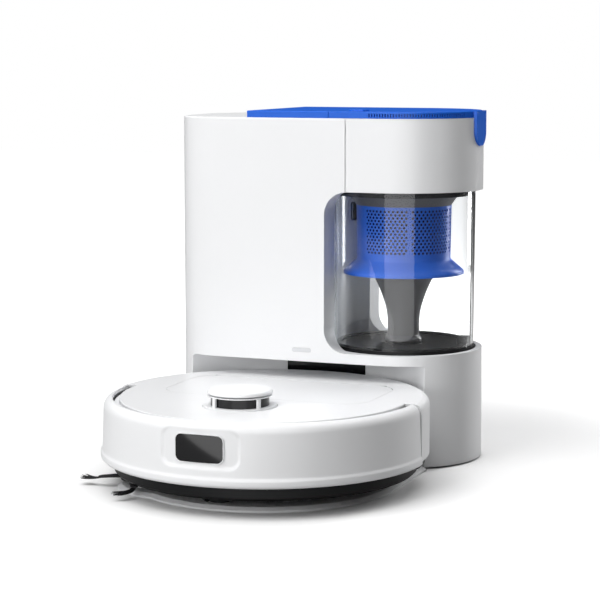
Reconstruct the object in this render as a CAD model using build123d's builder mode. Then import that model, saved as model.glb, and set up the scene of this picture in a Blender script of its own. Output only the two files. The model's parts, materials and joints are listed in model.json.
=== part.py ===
"""Robot vacuum docked in its bagless self-emptying station.

Row frame, millimetres: +Z up, the floor at Z = 0, the station's back towards
+Y and the robot parked in front of it towards -Y.  The origin is on the floor
on the dock's centre line, half way through the station's depth.
"""

import os
from math import cos, radians, sin

from build123d import *

os.makedirs("parts", exist_ok=True)

# ---- driving dimensions: station ------------------------------------------
DEPTH = 177.0  # station depth, and the diameter of its round right end
HALF = DEPTH / 2
LEFT = -166.0  # X of the left end
LEFT_R = 60.0  # plan radius of the two left corners
COLUMN_X = 86.0  # axis of the canister column
WALL = 3.0  # casing wall
FLOOR_GAP = 2.0  # feet height
FOOT_R = 9.0
BASE_TOP = 124.5  # top of the low base under the canister
HEAD_BOTTOM = 301.5  # underside of the canister head
WHITE_TOP = 382.0  # top of the white casing
BLUE_TOP = 389.5  # top of the blue lid and panel
RECESS_X = 24.0  # left edge of the canister opening
RECESS_R = 25.0  # its corner radius
RECESS_WALL_R = 84.0  # concave wall behind the cup
HEAD_R = 95.6  # round inner end of the canister head, about the column axis
LID_R = 104.0  # round inner end of the blue lid, about the column axis
SEAM = 0.5  # gap at the seams round the head and the lid
PANEL_LEFT = -68.0  # left end of the fixed blue panel
PLATE = 3.0  # base plate thickness
TOWER_FLOOR = 117.0  # inside floor of the tower
COVER_X, COVER_Z = -45.0, 195.0  # centre of the rear cover
COVER_W, COVER_H = 110.0, 350.0
COVER_LIP = 8.0  # rim that the cover rests and is screwed on
SOCKET_X, SOCKET_Z = -70.0, 40.0  # power inlet in the rear cover
SOCKET_W, SOCKET_H = 24.0, 16.0
INDICATOR = (-2.6, 126.0)  # X and Z of the status light
PORT_ANGLE = 24.3  # emptying port, from +Y towards +X about the robot axis
PORT_Z = 62.0
PORT_R = 14.0  # bore of the port in the robot
INLET_ANGLE = -60.0  # canister inlet, from +Y towards +X about the column axis
INLET_Z = 271.5
DUCT = (-22.0, 55.0)  # X and Y of the upright run of the air duct
DUCT_R = 12.0
MOTOR = (-80.0, 0.0)

# ---- driving dimensions: bay and ramp --------------------------------------
ROBOT_Y = -195.0  # robot axis when docked
BAY_R = 182.0
BAY_TOP = 113.4
BAY_CORNER = 16.0
RAMP_TOP = 5.0
RAMP_R = 140.0

# ---- driving dimensions: canister -------------------------------------------
CUP_R = 80.0
CUP_WALL = 3.5
CUP_BOTTOM = 128.0
SHROUD_R = 53.5
SHROUD_TOP = 284.0
SHROUD_BOTTOM = 223.0
SKIRT_R = 67.5
SKIRT_BOTTOM = 207.0
STEM_R = 18.0
TAB_HALF = 18.0
TAB_BOTTOM = 351.0
BUTTON = (58.0, -70.0)  # centre of the release button
BUTTON_FLOOR = 384.2  # bottom of the button's pocket

# ---- driving dimensions: robot ----------------------------------------------
CHASSIS_R = 160.0
CHASSIS_BOTTOM = 16.0
CHASSIS_FLOOR = 4.0
CHASSIS_TOP = CHASSIS_BOTTOM + CHASSIS_FLOOR  # inside of the floor
SHELL_BOTTOM = 31.0
DECK_TOP = 94.0
DECK_PLATE = 3.0
LIP_R = 174.0  # widest band, round the foot of the bumper
BODY_R = 172.2
BUMPER_SEAM = 2.0  # Y, robot frame, where the rear shell starts
TURRET_Y = -68.7  # robot frame
TURRET_R = 33.6
WHEEL_X = 113.0
WHEEL_R = 35.0
WHEEL_Z = RAMP_TOP + 0.3 + WHEEL_R
ARM_PIVOT_Y = -45.0  # robot frame
ARM_PIVOT_Z = 46.0
BRUSH_Y = 42.0  # main brush axis, robot frame
BRUSH_Z = 23.0
SIDE_BRUSH = (-118.0, -80.0)  # robot frame
CASTER_Y = -125.0  # robot frame
WELL_X = WHEEL_X - 4.5  # centre of a wheel well
WELL_Y = -8.0
WELL_W, WELL_L = 44.0, 104.0
CONTACT_X = 24.0  # charging contacts, either side of the centre line
WINDOW_W, WINDOW_H = 51.0, 27.4  # hole for the front window
WINDOW_Z = 68.3
BIN_Y = 105.0  # dust bin, robot frame
LID_X = 116.0  # half width of the hinged deck lid
LID_FRONT = -24.0  # robot frame
LID_REAR = 95.0  # robot frame
LID_CORNER = 29.6
LID_PLATE = 2.8
LID_GAP = 0.4  # seam round the lid
SWING_GAP = 1.2  # wider seam at the rear corners, where the lid swings past
SWING_R = 3.0  # groove about the hinge axis for the lid's rear corners
SWING_X = 102.0  # outer end of that groove
BARREL_R = 2.0  # round rear edge of the deck lid, about its hinge axis
HINGE_Y = LID_REAR - BARREL_R  # robot frame
HINGE_Z = DECK_TOP - BARREL_R
PIN_R = 0.9
BARREL_X = 86.0  # half length of the barrel
EAR_X = 44.0  # deck ears that hold the hinge pin
EAR_W = 6.0

FIT = 0.08  # radial clearance of a running fit
TALL = 400.0


def save(part, label):
    """Label one finished piece and write its STEP file."""
    part.part.label = label
    export_step(part.part, f"parts/{label}.step")


def station_outline(inset=0.0):
    """The station seen from above: square left end, round right end."""
    with BuildSketch() as outline:
        length = COLUMN_X - LEFT - inset
        with Locations(((COLUMN_X + LEFT + inset) / 2, 0)):
            Rectangle(length, DEPTH - 2 * inset)
        fillet(outline.vertices().group_by(Axis.X)[0], LEFT_R - inset)
        with Locations((COLUMN_X, 0)):
            Circle(HALF - inset)
    return outline.sketch


def ramp_outline(inset=0.0):
    """The ramp seen from above, with the robot axis as its origin."""
    with BuildSketch() as outline:
        Circle(RAMP_R - inset)
        side = 2 * (RAMP_R - inset)
        with Locations((0, BAY_R / 2)):
            Rectangle(side, BAY_R)
        with Locations((-80, -55)):
            Circle(60 - inset)
        with Locations((-RAMP_R / 2 - 20 + inset / 2, -25)):
            Rectangle(100 - inset, 60)
        Circle(BAY_R - 0.4, mode=Mode.INTERSECT)
    return outline.sketch


def lid_outline(gap=0.0):
    """The hinged deck lid seen from above, in the robot frame, grown by gap."""
    with BuildSketch() as outline:
        with Locations((0, (LID_FRONT + LID_REAR) / 2)):
            RectangleRounded(2 * (LID_X + gap), LID_REAR - LID_FRONT + 2 * gap, LID_CORNER + gap)
    return outline.sketch


def ring(z, height, outer, inner):
    """A plain ring or, with inner = 0, a disc; used as a building block."""
    with BuildSketch(Plane.XY.offset(z)) as flat:
        Circle(outer)
        if inner:
            Circle(inner, mode=Mode.SUBTRACT)
    return extrude(flat.sketch, amount=height, mode=Mode.PRIVATE)


def radial_plane(angle, radius, z, centre):
    """Plane facing inwards on a cylinder about centre; angle from +Y towards +X."""
    a = radians(angle)
    x, y = centre[0] + radius * sin(a), centre[1] + radius * cos(a)
    return Plane(origin=(x, y, z), x_dir=(cos(a), -sin(a), 0), z_dir=(-sin(a), -cos(a), 0))


PORT = radial_plane(PORT_ANGLE, BAY_R, PORT_Z, (0, ROBOT_Y))
INLET = radial_plane(INLET_ANGLE, RECESS_WALL_R, INLET_Z, (COLUMN_X, 0))

# ============================ station =========================================

with BuildPart() as bay:
    with BuildSketch(Plane.XY.offset(-20)):
        with Locations((0, ROBOT_Y)):
            Circle(BAY_R)
    extrude(amount=TALL)
    with BuildSketch(Plane.XZ.offset(-TALL)):
        with Locations((0, BAY_TOP / 2 - 100)):
            RectangleRounded(2 * 146.5, BAY_TOP + 200, BAY_CORNER)
    extrude(amount=2 * TALL, mode=Mode.INTERSECT)

with BuildPart() as opening:
    with BuildSketch(Plane.XZ.offset(-HALF - 20)):
        with Locations(((RECESS_X + 260) / 2, (BASE_TOP + HEAD_BOTTOM) / 2)):
            RectangleRounded(260 - RECESS_X, HEAD_BOTTOM - BASE_TOP, RECESS_R)
    extrude(amount=DEPTH + 40)

with BuildPart() as station_housing:
    with BuildSketch(Plane.XY.offset(FLOOR_GAP + PLATE)):
        add(station_outline())
    extrude(amount=WHITE_TOP - FLOOR_GAP - PLATE)
    fillet(station_housing.edges().group_by(Axis.Z)[-1], 2.0)
    # the well for the canister head, above the ledge
    with BuildSketch(Plane.XY.offset(HEAD_BOTTOM)):
        with Locations((COLUMN_X, 0)):
            Circle(HEAD_R + SEAM)
    extrude(amount=100, mode=Mode.SUBTRACT)
    # the canister opening, its concave wall and its foot well
    add(opening.part, mode=Mode.SUBTRACT)
    with BuildSketch(Plane.XY.offset(BASE_TOP)):
        with Locations((COLUMN_X, 0)):
            Circle(RECESS_WALL_R)
    extrude(amount=HEAD_BOTTOM - BASE_TOP, mode=Mode.SUBTRACT)
    with BuildSketch(Plane.XY.offset(117.5)):
        with Locations((COLUMN_X, 0)):
            Circle(81.5)
    extrude(amount=20, mode=Mode.SUBTRACT)
    # the bay for the robot
    add(bay.part, mode=Mode.SUBTRACT)
    # hollow base
    with BuildSketch(Plane.XY.offset(FLOOR_GAP)):
        add(station_outline(WALL))
        with Locations((0, ROBOT_Y)):
            Circle(BAY_R + WALL, mode=Mode.SUBTRACT)
    extrude(amount=112, mode=Mode.SUBTRACT)
    # hollow tower, and the block above the opening
    with BuildSketch(Plane.XY.offset(TOWER_FLOOR)):
        add(station_outline(WALL))
        with Locations((RECESS_X - WALL - 150, 0)):
            Rectangle(300, DEPTH, mode=Mode.INTERSECT)
        with Locations((COLUMN_X, 0)):
            Circle(RECESS_WALL_R + WALL, mode=Mode.SUBTRACT)
    extrude(amount=WHITE_TOP - WALL - TOWER_FLOOR, mode=Mode.SUBTRACT)
    with BuildSketch(Plane.XY.offset(HEAD_BOTTOM + WALL)):
        add(station_outline(WALL))
        with Locations((COLUMN_X - 200, 0)):
            Rectangle(400, DEPTH, mode=Mode.INTERSECT)
        with Locations((COLUMN_X, 0)):
            Circle(HEAD_R + SEAM + WALL, mode=Mode.SUBTRACT)
    extrude(amount=WHITE_TOP - HEAD_BOTTOM - 2 * WALL, mode=Mode.SUBTRACT)
    # passage for the duct and wires between base and tower
    with BuildSketch(Plane.XY.offset(110)):
        with Locations((-75, 45)):
            RectangleRounded(140, 60, 8)
    extrude(amount=10, mode=Mode.SUBTRACT)
    # lip that carries the rear cover, then the cover's pocket
    with BuildSketch(Plane.XZ.offset(-HALF + WALL)):
        with Locations((COVER_X, COVER_Z)):
            Rectangle(COVER_W + 12, COVER_H + 12)
            RectangleRounded(COVER_W - 2 * COVER_LIP, COVER_H - 2 * COVER_LIP, 6, mode=Mode.SUBTRACT)
    extrude(amount=3.2)
    with BuildSketch(Plane.XZ.offset(-HALF - 1)):
        with Locations((COVER_X, COVER_Z)):
            RectangleRounded(COVER_W - 2 * COVER_LIP, COVER_H - 2 * COVER_LIP, 6)
    extrude(amount=12, mode=Mode.SUBTRACT)
    with BuildSketch(Plane.XZ.offset(-HALF - 1)):
        with Locations((COVER_X, COVER_Z)):
            RectangleRounded(COVER_W, COVER_H, 10)
    extrude(amount=1 + WALL, mode=Mode.SUBTRACT)
    with BuildSketch(Plane.XZ.offset(-HALF - 1)):
        with Locations((COVER_X, COVER_Z)):
            with GridLocations(COVER_W - COVER_LIP, COVER_H - COVER_LIP, 2, 2):
                Circle(1.4)
    extrude(amount=12, mode=Mode.SUBTRACT)
    # pocket of the docking window and slot of the indicator
    with BuildSketch(Plane.XY.offset(40)):
        with Locations((0, ROBOT_Y)):
            Circle(BAY_R + 1.6)
        with Locations((0, 0)):
            Rectangle(95, 200, mode=Mode.INTERSECT)
    extrude(amount=65, mode=Mode.SUBTRACT)
    with BuildSketch(Plane.XZ.offset(HALF + 1)):
        with Locations(INDICATOR):
            SlotOverall(22.7, 4.6)
    extrude(amount=-3.2, mode=Mode.SUBTRACT)
    # emptying port and canister inlet
    with BuildSketch(PORT):
        Circle(PORT_R + 3)
    extrude(amount=12, both=True, mode=Mode.SUBTRACT)
    with BuildSketch(INLET):
        RectangleRounded(34, 29, 5)
    extrude(amount=6, both=True, mode=Mode.SUBTRACT)
save(station_housing, "station_housing")

with BuildPart() as station_rear_cover:
    with BuildSketch(Plane.XZ.offset(-HALF)):
        with Locations((COVER_X, COVER_Z)):
            RectangleRounded(COVER_W - 0.6, COVER_H - 0.6, 9.7)
    extrude(amount=WALL)
    with BuildSketch(Plane.XZ.offset(-HALF)):
        with Locations((COVER_X, COVER_Z + 105)):
            with GridLocations(0, 9, 1, 9):
                SlotOverall(70, 3.4)
        with Locations((COVER_X, COVER_Z)):
            with GridLocations(COVER_W - COVER_LIP, COVER_H - COVER_LIP, 2, 2):
                Circle(1.5)
        with Locations((SOCKET_X, SOCKET_Z)):
            RectangleRounded(SOCKET_W, SOCKET_H, 3)
    extrude(amount=WALL, mode=Mode.SUBTRACT)
    outer_edges = station_rear_cover.edges().filter_by(GeomType.LINE).group_by(Axis.Y)[-1]
    fillet(outer_edges.group_by(Axis.Z)[-1], 0.8)
save(station_rear_cover, "station_rear_cover")

with BuildPart() as power_inlet:
    with BuildSketch(Plane.XZ.offset(-HALF)):
        with Locations((SOCKET_X, SOCKET_Z)):
            RectangleRounded(SOCKET_W - 0.4, SOCKET_H - 0.4, 2.8)
    extrude(amount=22)
    with BuildSketch(Plane.XZ.offset(-HALF + WALL)):
        with Locations((SOCKET_X, SOCKET_Z)):
            Rectangle(SOCKET_W + 8, SOCKET_H + 8)
            RectangleRounded(SOCKET_W - 0.4, SOCKET_H - 0.4, 2.8, mode=Mode.SUBTRACT)
    extrude(amount=2)
    with BuildSketch(Plane.XZ.offset(-HALF)):
        with Locations((SOCKET_X, SOCKET_Z)):
            SlotOverall(16.4, 9.2)
    extrude(amount=14, mode=Mode.SUBTRACT)
    with BuildSketch(Plane.XZ.offset(-HALF + 14)):
        with Locations((SOCKET_X, SOCKET_Z)):
            with GridLocations(7.6, 0, 2, 1):
                Circle(1.2)
    extrude(amount=-9)
save(power_inlet, "power_inlet")

with BuildPart() as housing_screws:
    with BuildSketch(Plane.XZ.offset(-HALF + 0.6)):
        with Locations((COVER_X, COVER_Z)):
            with GridLocations(COVER_W - COVER_LIP, COVER_H - COVER_LIP, 2, 2):
                Circle(1.3)
    extrude(amount=5)
    with BuildSketch(Plane.XZ.offset(-HALF - 1.2)):
        with Locations((COVER_X, COVER_Z)):
            with GridLocations(COVER_W - COVER_LIP, COVER_H - COVER_LIP, 2, 2):
                Circle(2.9)
                Rectangle(3.2, 0.8, mode=Mode.SUBTRACT)
                Rectangle(0.8, 3.2, mode=Mode.SUBTRACT)
    extrude(amount=1.2)
    with BuildSketch(Plane.XZ.offset(-HALF)):
        with Locations((COVER_X, COVER_Z)):
            with GridLocations(COVER_W - COVER_LIP, COVER_H - COVER_LIP, 2, 2):
                Circle(1.3)
    extrude(amount=0.7)
save(housing_screws, "housing_screws")

with BuildPart() as base_plate:
    with BuildSketch(Plane.XY.offset(FLOOR_GAP)):
        add(station_outline())
        with Locations((0, ROBOT_Y)):
            Circle(BAY_R, mode=Mode.SUBTRACT)
    extrude(amount=PLATE)
save(base_plate, "base_plate")

with BuildPart() as station_feet:
    with BuildSketch():
        with Locations((0, 0), (-140, 40), (-75, 68), (0, 68), (86, 68), (152, -8)):
            Circle(FOOT_R)
    extrude(amount=FLOOR_GAP)
save(station_feet, "station_feet")

with BuildPart() as docking_ramp:
    with BuildSketch(Plane.XY):
        with Locations((0, ROBOT_Y)):
            add(ramp_outline())
    extrude(amount=2)
    with BuildSketch(Plane.XY.offset(2)):
        with Locations((0, ROBOT_Y)):
            add(ramp_outline())
    extrude(amount=RAMP_TOP - 2, taper=55)
    # contact block behind the robot
    with BuildSketch(Plane.XY.offset(RAMP_TOP - 0.5)):
        with Locations((0, -44)):
            RectangleRounded(76, 14, 4)
    extrude(amount=8)
save(docking_ramp, "docking_ramp")

with BuildPart() as charging_contacts:
    with BuildSketch(Plane.XY.offset(RAMP_TOP + 7.5)):
        with Locations((-CONTACT_X, -45), (CONTACT_X, -45)):
            RectangleRounded(20, 8, 2)
    extrude(amount=1.2)
save(charging_contacts, "charging_contacts")

with BuildPart() as dock_window:
    with BuildSketch(Plane.XY.offset(40.2)):
        with Locations((0, ROBOT_Y)):
            Circle(BAY_R + 1.5)
            Circle(BAY_R, mode=Mode.SUBTRACT)
        Rectangle(94.6, 200, mode=Mode.INTERSECT)
    extrude(amount=64.6)
save(dock_window, "dock_window")

with BuildPart() as indicator_lens:
    with BuildSketch(Plane.XZ.offset(HALF)):
        with Locations(INDICATOR):
            SlotOverall(22.5, 4.4)
    extrude(amount=-2.0)
save(indicator_lens, "indicator_lens")

with BuildPart() as port_gasket:
    with BuildSketch(PORT.offset(-3)):
        Circle(PORT_R + 2.8)
        Circle(PORT_R - 0.5, mode=Mode.SUBTRACT)
    extrude(amount=9)
save(port_gasket, "port_gasket")

with BuildPart() as inlet_gasket:
    with BuildSketch(INLET.offset(-3)):
        RectangleRounded(33.6, 28.6, 4.8)
        RectangleRounded(27, 22, 3, mode=Mode.SUBTRACT)
    extrude(amount=5.5)
save(inlet_gasket, "inlet_gasket")

duct_start = PORT.offset(-4).origin
duct_end = INLET.offset(-4).origin
with BuildPart() as air_duct:
    with BuildLine() as route:
        FilletPolyline(
            duct_start,
            duct_start - PORT.z_dir * 48,
            (0, DUCT[1], PORT_Z),
            (*DUCT, 100),
            (*DUCT, INLET_Z),
            (duct_end - INLET.z_dir * 22),
            duct_end,
            radius=[16, 16, 14, 10, 3],
        )
    with BuildSketch(Plane(origin=duct_start, z_dir=-PORT.z_dir)):
        Circle(DUCT_R)
        Circle(DUCT_R - 2, mode=Mode.SUBTRACT)
    sweep()
save(air_duct, "air_duct")

with BuildPart() as suction_motor:
    with BuildSketch(Plane.XY.offset(TOWER_FLOOR + 4)):
        with Locations(MOTOR):
            Circle(40)
    extrude(amount=80)
    fillet(suction_motor.edges().group_by(Axis.Z)[-1], 6)
    # mounting flange on the tower's floor
    with BuildSketch(Plane.XY.offset(TOWER_FLOOR)):
        with Locations(MOTOR):
            RectangleRounded(110, 84, 8)
    extrude(amount=4)
    with BuildSketch(Plane.XY.offset(201)):
        with Locations(MOTOR):
            Circle(4)
    extrude(amount=24)
save(suction_motor, "suction_motor")

with BuildPart() as motor_impeller:
    with BuildSketch(Plane.XY.offset(204)):
        with Locations(MOTOR):
            Circle(36)
    extrude(amount=2)
    with BuildSketch(Plane.XY.offset(206)):
        with Locations(MOTOR):
            Circle(12)
            with PolarLocations(22, 9):
                Rectangle(26, 2)
    extrude(amount=14)
    with BuildSketch(Plane.XY.offset(204)):
        with Locations(MOTOR):
            Circle(4 + FIT)
    extrude(amount=18, mode=Mode.SUBTRACT)
save(motor_impeller, "motor_impeller")

with BuildPart() as station_circuit_board:
    with BuildSketch(Plane.XZ.offset(78)):
        with Locations((-60, 310)):
            Rectangle(90, 110)
            with GridLocations(80, 100, 2, 2):
                Circle(1.6, mode=Mode.SUBTRACT)
    extrude(amount=1.6)
    with BuildSketch(Plane.XZ.offset(78)):
        with Locations((-80, 330), (-60, 285), (-30, 320)):
            Rectangle(16, 12)
    extrude(amount=-8)
save(station_circuit_board, "station_circuit_board")

with BuildPart() as top_panel:
    with BuildSketch(Plane.XY.offset(WHITE_TOP)):
        add(station_outline(1.5))
        with Locations(((PANEL_LEFT + COLUMN_X) / 2, 0)):
            Rectangle(COLUMN_X - PANEL_LEFT, DEPTH, mode=Mode.INTERSECT)
        with Locations((COLUMN_X, 0)):
            Circle(LID_R + SEAM, mode=Mode.SUBTRACT)
    extrude(amount=BLUE_TOP - WHITE_TOP)
    fillet(top_panel.edges().group_by(Axis.Z)[-1], 1.0)
save(top_panel, "top_panel")

# ============================ dust canister ====================================

with BuildPart() as canister_head:
    with BuildSketch(Plane.XY.offset(HEAD_BOTTOM + 0.3)):
        add(station_outline())
        with Locations((COLUMN_X, 0)):
            Circle(HEAD_R, mode=Mode.INTERSECT)
    extrude(amount=WHITE_TOP - HEAD_BOTTOM - 0.3)
    with BuildSketch(Plane.XY.offset(315)):
        with Locations((COLUMN_X, 0)):
            Circle(80)
    extrude(amount=100, mode=Mode.SUBTRACT)
    with BuildSketch(Plane.XY.offset(300)):
        with Locations((COLUMN_X, 0)):
            Circle(48)
    extrude(amount=100, mode=Mode.SUBTRACT)
    # pocket for the lid's pull tab
    with BuildSketch(Plane.YZ.offset(COLUMN_X + HALF - 3.2)):
        with Locations((0, TAB_BOTTOM + 50)):
            RectangleRounded(2 * TAB_HALF + 0.6, 100.6, 16)
    extrude(amount=10, mode=Mode.SUBTRACT)
save(canister_head, "canister_head")

with BuildPart() as canister_cup:
    with BuildSketch(Plane.XZ):
        with BuildLine():
            Polyline(
                (CUP_R - 1.0, CUP_BOTTOM),
                (CUP_R, HEAD_BOTTOM + 0.3),
                (CUP_R - CUP_WALL, HEAD_BOTTOM + 0.3),
                (CUP_R - CUP_WALL - 1.0, CUP_BOTTOM),
                close=True,
            )
        make_face()
    revolve(axis=Axis.Z)
    with BuildSketch(radial_plane(INLET_ANGLE, CUP_R, INLET_Z, (0, 0))):
        RectangleRounded(27, 22, 3)
    extrude(amount=8, both=True, mode=Mode.SUBTRACT)
canister_cup.part = canister_cup.part.moved(Location((COLUMN_X, 0, 0)))
save(canister_cup, "canister_cup")

with BuildPart() as cup_seal:
    add(ring(295.5, HEAD_BOTTOM + 0.3 - 295.5, CUP_R - CUP_WALL - 0.15, 58))
    with BuildSketch(Plane.XY.offset(298.2)):
        Circle(80)
        Circle(75.2, mode=Mode.SUBTRACT)
    extrude(amount=0.9, mode=Mode.SUBTRACT)
cup_seal.part = cup_seal.part.moved(Location((COLUMN_X, 0, 0)))
save(cup_seal, "cup_seal")

with BuildPart() as cone_collar:
    with BuildSketch(Plane.XZ):
        with BuildLine():
            Polyline(
                (SHROUD_R, SHROUD_TOP),
                (61.5, 295.5),
                (58.0, 295.5),
                (58.0, HEAD_BOTTOM + 0.3),
                (50.0, HEAD_BOTTOM + 0.3),
                (50.0, SHROUD_TOP),
                close=True,
            )
        make_face()
    revolve(axis=Axis.Z)
cone_collar.part = cone_collar.part.moved(Location((COLUMN_X, 0, 0)))
save(cone_collar, "cone_collar")

with BuildPart() as filter_shroud:
    with BuildSketch(Plane.XZ):
        with BuildLine():
            Polyline(
                (SHROUD_R, SHROUD_TOP),
                (SHROUD_R - 1.0, SHROUD_BOTTOM),
                (SKIRT_R, SKIRT_BOTTOM + 3),
                (SKIRT_R, SKIRT_BOTTOM),
                (SKIRT_R - 2.0, SKIRT_BOTTOM),
                (SHROUD_R - 4.5, SHROUD_BOTTOM - 2),
                (SHROUD_R - 3.0, SHROUD_TOP),
                close=True,
            )
        make_face()
    revolve(axis=Axis.Z)
filter_shroud.part = filter_shroud.part.moved(Location((COLUMN_X, 0, 0)))
save(filter_shroud, "filter_shroud")

with BuildPart() as cyclone_cone:
    with BuildSketch(Plane.XZ):
        with BuildLine():
            Spline((STEM_R, 152), (24, 181), (46, 216), tangents=((0, 1), (0.8, 0.6)))
            Polyline((46, 216), (43.5, 216))
            Spline((43.5, 216), (21.6, 182), (STEM_R - 2.4, 152), tangents=((-0.8, -0.6), (0, -1)))
            Polyline(
                (STEM_R - 2.4, 152),
                (STEM_R - 2.4, 133),
                (STEM_R + 3, 131.2),
                (STEM_R + 3, 133),
                (STEM_R, 137),
                (STEM_R, 152),
            )
        make_face()
    revolve(axis=Axis.Z)
cyclone_cone.part = cyclone_cone.part.moved(Location((COLUMN_X, 0, 0)))
save(cyclone_cone, "cyclone_cone")

with BuildPart() as canister_bottom_lid:
    add(ring(118, CUP_BOTTOM - 118, CUP_R - 0.6, 0))
    fillet(canister_bottom_lid.edges().group_by(Axis.Z)[0], 2)
    add(ring(CUP_BOTTOM, 2.4, CUP_R - CUP_WALL - 1.05, 70))
    add(ring(CUP_BOTTOM, 3.2, STEM_R + 3, 0))
    # latch block inside the cup, at the right
    with BuildSketch(Plane.XY.offset(CUP_BOTTOM)):
        with Locations((69.5, 0)):
            RectangleRounded(10, 16, 2)
    extrude(amount=10)
canister_bottom_lid.part = canister_bottom_lid.part.moved(Location((COLUMN_X, 0, 0)))
save(canister_bottom_lid, "canister_bottom_lid")

with BuildPart() as filter_lid:
    with BuildSketch(Plane.XY.offset(WHITE_TOP + 0.2)):
        add(station_outline(1.5))
        with Locations((COLUMN_X, 0)):
            Circle(LID_R, mode=Mode.INTERSECT)
    extrude(amount=BLUE_TOP - WHITE_TOP - 0.2)
    fillet(filter_lid.edges().group_by(Axis.Z)[-1], 1.0)
    # spigot that centres the lid in the head
    with BuildSketch(Plane.XY.offset(376)):
        with Locations((COLUMN_X, 0)):
            Circle(79.5)
            Circle(76.5, mode=Mode.SUBTRACT)
    extrude(amount=WHITE_TOP + 0.3 - 376)
    # exhaust slots round the rim
    with BuildSketch(Plane.XY.offset(WHITE_TOP + 1.4)):
        with Locations((COLUMN_X, 0)):
            with PolarLocations(HALF - 2.5, 38, start_angle=-97, angular_range=76):
                Rectangle(4, 1.3)
    extrude(amount=4, mode=Mode.SUBTRACT)
    # pull tab down the outside of the head
    with BuildSketch(Plane.YZ.offset(COLUMN_X + HALF - 2.8)):
        with Locations((0, TAB_BOTTOM + TAB_HALF)):
            RectangleRounded(2 * TAB_HALF, 2 * TAB_HALF, 15.7)
        with Locations((0, (TAB_BOTTOM + TAB_HALF + BLUE_TOP) / 2)):
            Rectangle(2 * TAB_HALF, BLUE_TOP - TAB_BOTTOM - TAB_HALF)
    extrude(amount=4.2)
    # blind pocket for the release button
    with BuildSketch(Plane.XY.offset(BUTTON_FLOOR)):
        with Locations(BUTTON):
            RectangleRounded(18.6, 20.6, 3.3)
    extrude(amount=20, mode=Mode.SUBTRACT)
save(filter_lid, "filter_lid")

with BuildPart() as release_button:
    with BuildSketch(Plane.XY.offset(BUTTON_FLOOR + 2.2)):
        with Locations(BUTTON):
            RectangleRounded(18, 20, 3)
    extrude(amount=5.1)
    fillet(release_button.edges().group_by(Axis.Z)[-1], 1.2)
save(release_button, "release_button")

with BuildPart() as button_spring:
    with BuildSketch(Plane.XY.offset(BUTTON_FLOOR)):
        with Locations(BUTTON):
            Circle(5)
            Circle(3.6, mode=Mode.SUBTRACT)
    extrude(amount=2.2)
save(button_spring, "button_spring")

with BuildPart() as hepa_filter:
    with BuildSketch(Plane.XY.offset(318)):
        with Locations((COLUMN_X, 0)):
            Circle(74)
            Circle(30, mode=Mode.SUBTRACT)
    extrude(amount=54)
    # moulded seal round the filter's foot
    add(ring(315, 3, 78, 66).moved(Location((COLUMN_X, 0, 0))))
save(hepa_filter, "hepa_filter")


# ============================ robot ============================================
# Robot pieces are drawn about the robot's own axis and moved to the dock here.


def save_robot(part, label):
    """Move a robot piece from its own axis to the docked place and save it."""
    part.part = part.part.moved(Location((0, ROBOT_Y, 0)))
    save(part, label)


with BuildPart() as robot_chassis:
    add(ring(CHASSIS_BOTTOM, CHASSIS_FLOOR, CHASSIS_R, 0))
    chamfer(robot_chassis.edges().group_by(Axis.Z)[0], 3)
    add(ring(CHASSIS_BOTTOM + CHASSIS_FLOOR, 68, CHASSIS_R, CHASSIS_R - 3))
    add(ring(85, 3, CHASSIS_R, 149))
    # ring that closes the gap under the rear shell
    with BuildSketch(Plane.XY.offset(27)):
        Circle(168)
        Circle(CHASSIS_R - 1, mode=Mode.SUBTRACT)
        with Locations((0, BUMPER_SEAM + 100)):
            Rectangle(400, 200, mode=Mode.INTERSECT)
    extrude(amount=4)
    # openings in the floor: wheels, main brush, caster, side brush
    with BuildSketch(Plane.XY.offset(CHASSIS_BOTTOM)):
        with Locations((-WELL_X, WELL_Y), (WELL_X, WELL_Y)):
            Rectangle(WELL_W, WELL_L)
        with Locations((0, BRUSH_Y)):
            Rectangle(168, 44)
        with Locations((0, CASTER_Y)):
            Circle(20.5)
        with Locations(SIDE_BRUSH):
            Circle(13)
    extrude(amount=CHASSIS_FLOOR, mode=Mode.SUBTRACT)
    # socket of the caster: a cup with a bored roof
    with BuildSketch(Plane.XY.offset(CHASSIS_BOTTOM)):
        with Locations((0, CASTER_Y)):
            Circle(22.5)
            Circle(19.2, mode=Mode.SUBTRACT)
    extrude(amount=16)
    with BuildSketch(Plane.XY.offset(CHASSIS_BOTTOM + 16)):
        with Locations((0, CASTER_Y)):
            Circle(22.5)
            Circle(5 + FIT, mode=Mode.SUBTRACT)
    extrude(amount=5)
    # emptying port through the rear wall
    with BuildSketch(radial_plane(PORT_ANGLE, CHASSIS_R, PORT_Z, (0, 0))):
        Circle(PORT_R)
    extrude(amount=6, both=True, mode=Mode.SUBTRACT)
save_robot(robot_chassis, "robot_chassis")

with BuildPart() as wheel_wells:
    with BuildSketch(Plane.XY.offset(CHASSIS_TOP)):
        with Locations((-WELL_X, WELL_Y), (WELL_X, WELL_Y)):
            Rectangle(WELL_W + 3, WELL_L + 3)
    extrude(amount=64.5)
    with BuildSketch(Plane.XY.offset(CHASSIS_TOP)):
        with Locations((-WELL_X, WELL_Y), (WELL_X, WELL_Y)):
            Rectangle(WELL_W, WELL_L)
    extrude(amount=63, mode=Mode.SUBTRACT)
    with BuildSketch(Plane.YZ.offset(-WELL_X + WELL_W / 2)):
        with Locations((ARM_PIVOT_Y, ARM_PIVOT_Z)):
            Circle(3)
    extrude(amount=-9)
    with BuildSketch(Plane.YZ.offset(WELL_X - WELL_W / 2)):
        with Locations((ARM_PIVOT_Y, ARM_PIVOT_Z)):
            Circle(3)
    extrude(amount=9)
save_robot(wheel_wells, "wheel_wells")


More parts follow.
